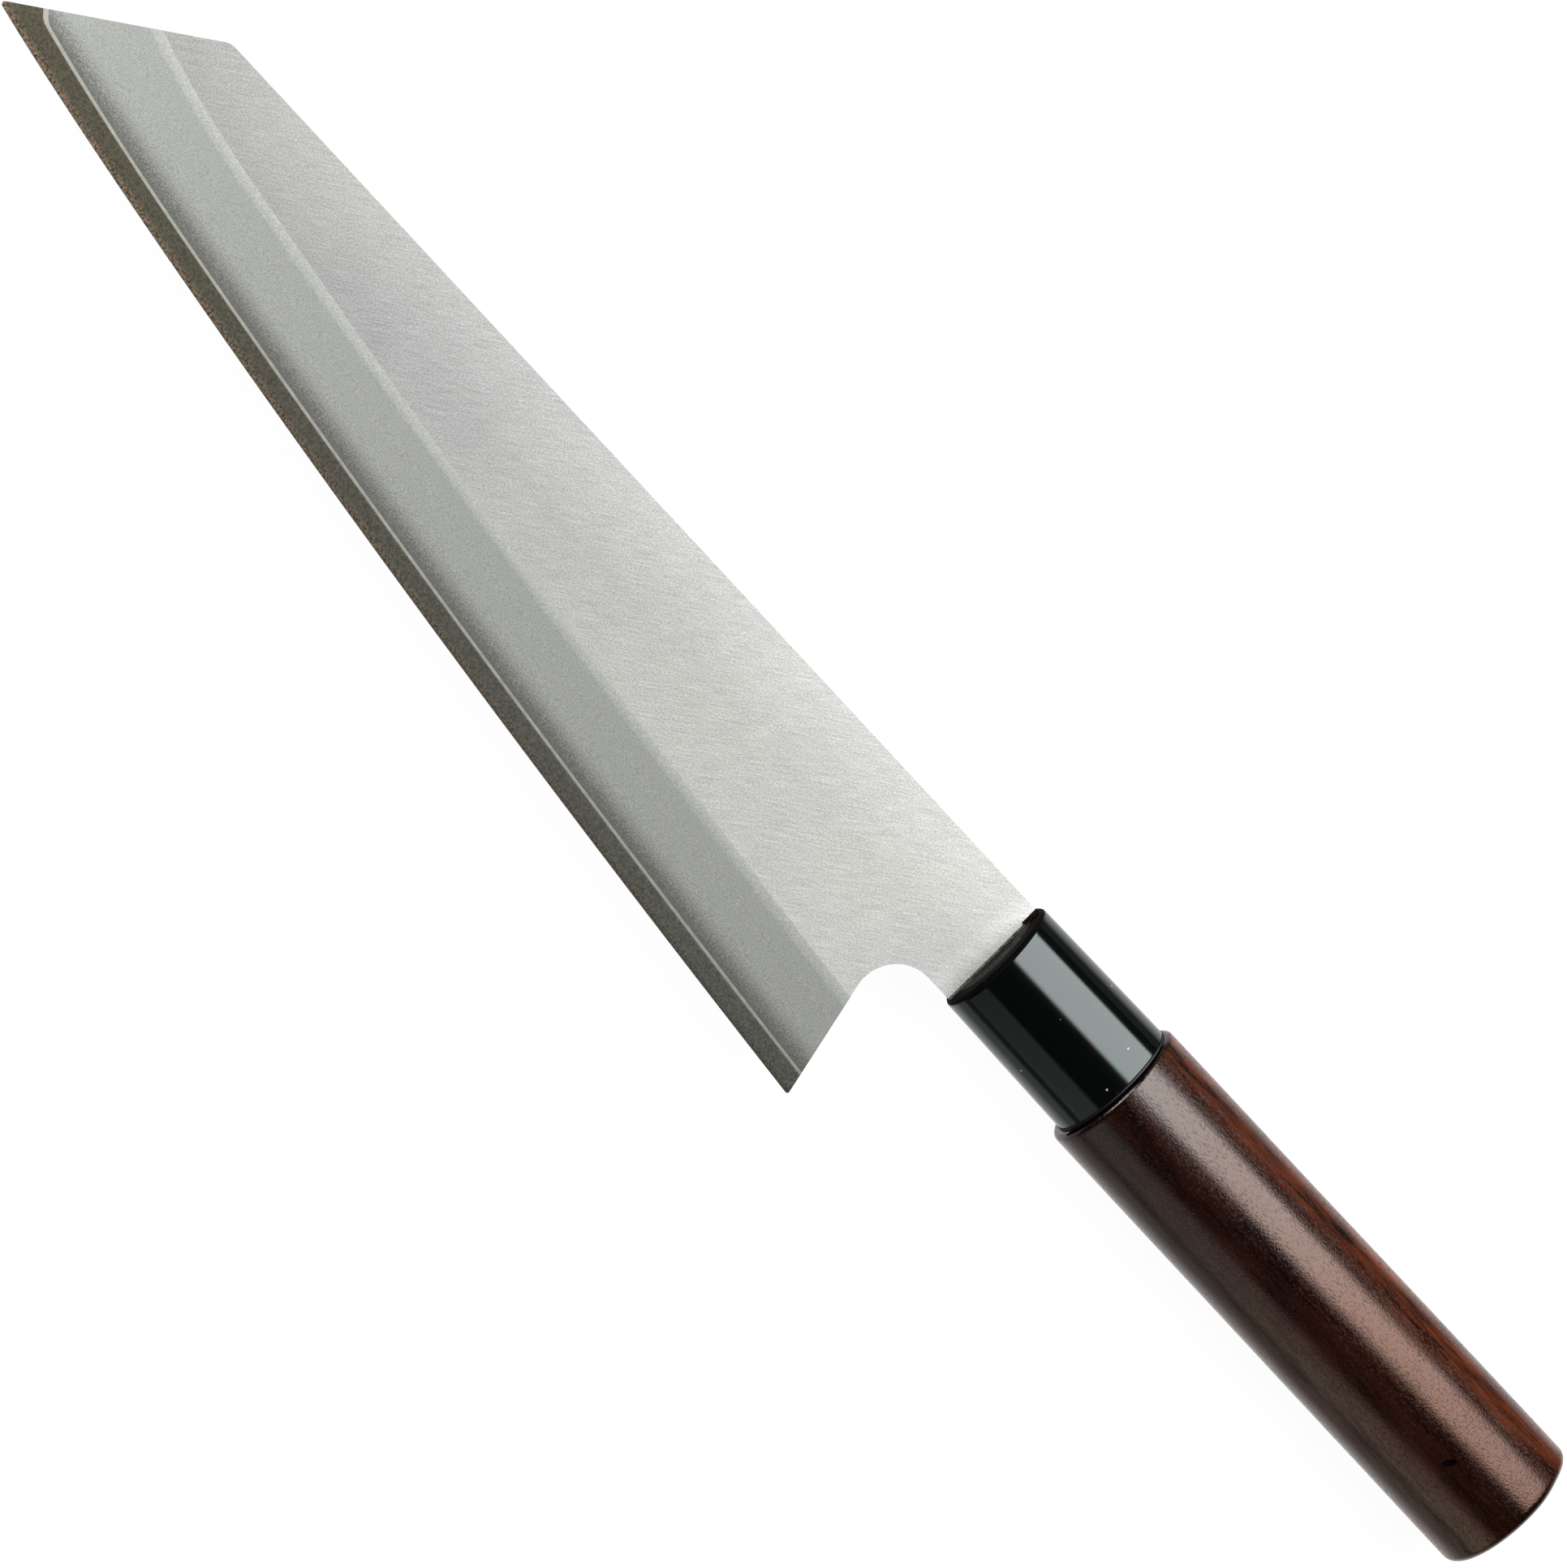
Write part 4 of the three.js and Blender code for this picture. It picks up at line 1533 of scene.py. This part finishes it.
@dataclass
class Studio:
    """White table, three softboxes, a dim room and the camera, set round the knife."""

    datum: Datum
    lens: float = 146.08  # millimetres, on a sensor 36 mm wide
    clip: Span = (0.05, 50.0)
    distance: float = 1.0
    target: Vector = Vector((-43.9 * MM, -15.6 * MM, 0))
    lean: float = math.radians(13)  # camera off the vertical, towards the tip
    roll: float = math.radians(47.1)
    spin: float = math.radians(-0.179)
    softbox_distance: float = 0.9
    key_angle: float = math.radians(43.2)  # off the vertical, on the spine side
    key_size: Span = (0.92, 1.08)
    key_shift: float = 0.1
    key_power: float = 18.2
    key_edge: Span = (0.06, 0.12)  # shares of the sides where the light fades
    fill_angle: float = math.radians(59)
    fill_size: Span = (1.1, 0.74)
    fill_shift: float = 0.59
    fill_power: float = 2.2
    fill_edge: Span = (0.47, 0.15)
    tip_at: Vector = Vector((-0.5, 0.0, 0.5))  # lamp beyond the tip
    tip_aim: Vector = Vector((-0.15, 0.0, 0.0))  # place on the blade that it faces
    tip_size: Span = (0.5, 0.35)
    tip_power: float = 3.4
    floor_half: float = 4.0
    paint: float = 0.8  # of the table, for the light that it throws back
    shadow: float = 0.06  # grey that is lit on top of its glow, so that the camera sees shadows
    table_glow: float = 0.96
    table_fade: Span = (24 * MM, 56 * MM)  # off the handle, where the mirrored table dims
    table_far: Span = (0.04, 0.42)  # its level there on the spine side and on the edge side
    table_turn: float = 20 * MM  # how far to either side of the handle the one side turns into the other
    zenith: float = 0.025
    horizon: Span = (0.03, 0.14)  # on the spine side and on the edge side
    horizon_turn: float = 0.5  # part of a direction along y where the one side turns into the other
    horizon_height: float = 0.3  # part of a direction along z where it fades out

    def camera(self) -> None:
        """Set up the camera at the photograph's angle."""
        data = bpy.data.cameras.new("camera")
        data.lens = self.lens
        data.clip_start, data.clip_end = self.clip
        camera = bpy.data.objects.new("camera", data)
        bpy.context.scene.collection.objects.link(camera)
        turn = (
            Euler((0, 0, self.spin)).to_matrix()
            @ Euler((0, -self.lean, 0)).to_matrix()
            @ Euler((0, 0, self.roll)).to_matrix()
        )
        camera.rotation_euler = turn.to_euler()
        camera.location = self.datum.origin + self.target + turn @ Vector((0, 0, self.distance))
        bpy.context.scene.camera = camera

    def softbox(self, name: str, size: Span, power: float, edge: Span) -> bpy.types.Object:
        """Add a softbox whose light fades towards its rim, facing down.

        Args:
            name: Name of the lamp.
            size: Its two sides.
            power: Its power in watts.
            edge: Shares of the sides over which the light fades.

        Returns:
            The lamp.
        """
        data = bpy.data.lights.new(name, "AREA")
        data.shape = "RECTANGLE"
        data.size, data.size_y = size
        data.energy = power
        data.use_nodes = True
        add = partial(add_node, data.node_tree)
        place = add("NewGeometry", output="Parametric")
        middle = 0.5  # of a side, and so also from there to the rim
        level: Value = 1.0
        for axis, share in zip("XY", edge):
            across = add("SeparateXYZ", [place], axis)
            off_middle = add("Math", [across, middle], operation="SUBTRACT")
            to_rim = add("Math", [off_middle], operation="ABSOLUTE")
            ramp = [to_rim, middle - share, middle, 1, 0]
            fade = add("MapRange", ramp, interpolation_type="SMOOTHSTEP")
            level = add("Math", [level, fade], operation="MULTIPLY")
        feed(data.node_tree.nodes["Emission"].inputs["Strength"], level)
        lamp = bpy.data.objects.new(name, data)
        bpy.context.scene.collection.objects.link(lamp)
        return lamp

    def hang_over_handle(self, lamp: bpy.types.Object, angle: float, shift: float) -> None:
        """Hang a lamp over one side of the handle, facing it.

        Args:
            lamp: The lamp.
            angle: Its angle off the vertical, towards the spine side.
            shift: How far it is moved along the knife, towards the butt.
        """
        middle = self.datum.origin + Vector((self.datum.ferrule_length / 2 + shift, self.datum.axis_y, 0))
        away = Vector((0, math.sin(angle), math.cos(angle)))
        lamp.location = middle + away * self.softbox_distance
        lamp.rotation_euler = (-angle, 0, 0)

    def lamps(self) -> None:
        """Hang the softboxes: the key on the spine side, a dim fill opposite, and one beyond the tip."""
        key = self.softbox("key_softbox", self.key_size, self.key_power, self.key_edge)
        self.hang_over_handle(key, self.key_angle, self.key_shift)
        fill = self.softbox("fill_softbox", self.fill_size, self.fill_power, self.fill_edge)
        self.hang_over_handle(fill, -self.fill_angle, self.fill_shift)
        tip = self.softbox("tip_softbox", self.tip_size, self.tip_power, self.key_edge)
        tip.location = self.tip_at
        blade = self.datum.origin + self.tip_aim
        tip.rotation_euler = (blade - self.tip_at).to_track_quat("-Z", "Y").to_euler()

    def floor(self) -> None:
        """Lay the table: white with a soft shadow to the camera, and dimming off the handle in mirrors."""
        bpy.ops.object.select_all(action="DESELECT")
        bpy.ops.mesh.primitive_plane_add(size=2 * self.floor_half)
        table = bpy.context.object
        table.name = "white_table"
        material, add = new_material("white_table")
        tree = material.node_tree
        tree.nodes.remove(tree.nodes["Principled BSDF"])
        seen, glossy, through = (
            add("LightPath", output=f"Is {ray} Ray") for ray in ("Camera", "Glossy", "Transmission")
        )
        for ray in (glossy, through):
            seen = add("Math", [seen, ray], operation="MAXIMUM")
        y = add("SeparateXYZ", [add("TexCoord", output="Object")], "Y")
        across = add("Math", [y, self.datum.origin.y + self.datum.axis_y], operation="SUBTRACT")
        spine_level, edge_level = self.table_far
        dimmest = add("MapRange", [across, -self.table_turn, self.table_turn, edge_level, spine_level])
        off_handle = add("Math", [across], operation="ABSOLUTE")
        ramp = [off_handle, *self.table_fade, self.table_glow, dimmest]
        dimmed = add("MapRange", ramp, interpolation_type="SMOOTHSTEP")
        level = add("Mix", [glossy, self.table_glow, dimmed], data_type="FLOAT")
        glow = add("Emission", {"Strength": level})
        paint, shadow = (add("BsdfDiffuse", [(grey, grey, grey, 1)]) for grey in (self.paint, self.shadow))
        white = add("AddShader", [shadow, glow])
        surface = add("MixShader", [seen, paint, white])
        feed(tree.nodes["Material Output"].inputs["Surface"], surface)
        table.data.materials.append(material)

    def sky(self) -> None:
        """Make the room dim, darkest overhead and brightest along the horizon on the edge side."""
        world = bpy.data.worlds.new("room")
        world.use_nodes = True
        add = partial(add_node, world.node_tree)
        way = add("TexCoord", output="Generated")
        y, z = (add("SeparateXYZ", [way], axis) for axis in "YZ")
        spine_level, edge_level = self.horizon
        horizon = add("MapRange", [y, -self.horizon_turn, self.horizon_turn, edge_level, spine_level])
        ramp = [z, 0, self.horizon_height, horizon, self.zenith]
        level = add("MapRange", ramp, interpolation_type="SMOOTHSTEP")
        background = world.node_tree.nodes["Background"]
        feed(background.inputs["Color"], (1, 1, 1, 1))
        feed(background.inputs["Strength"], level)
        bpy.context.scene.world = world

    def build(self) -> None:
        """Set up the camera, the lamps, the table and the room."""
        self.camera()
        self.lamps()
        self.floor()
        self.sky()
        bpy.context.scene.view_settings.view_transform = "Standard"


def main() -> None:
    """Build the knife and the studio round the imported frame."""
    logging.basicConfig(level=logging.INFO, format="%(name)s: %(message)s")
    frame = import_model()
    datum = Datum.from_frame()
    Studio(datum).build()
    Blade(datum).build()
    Ferrule(datum).build()
    Grip(datum).build()
    Joints(datum).build(frame["nodes"])


if __name__ == "__main__":
    main()
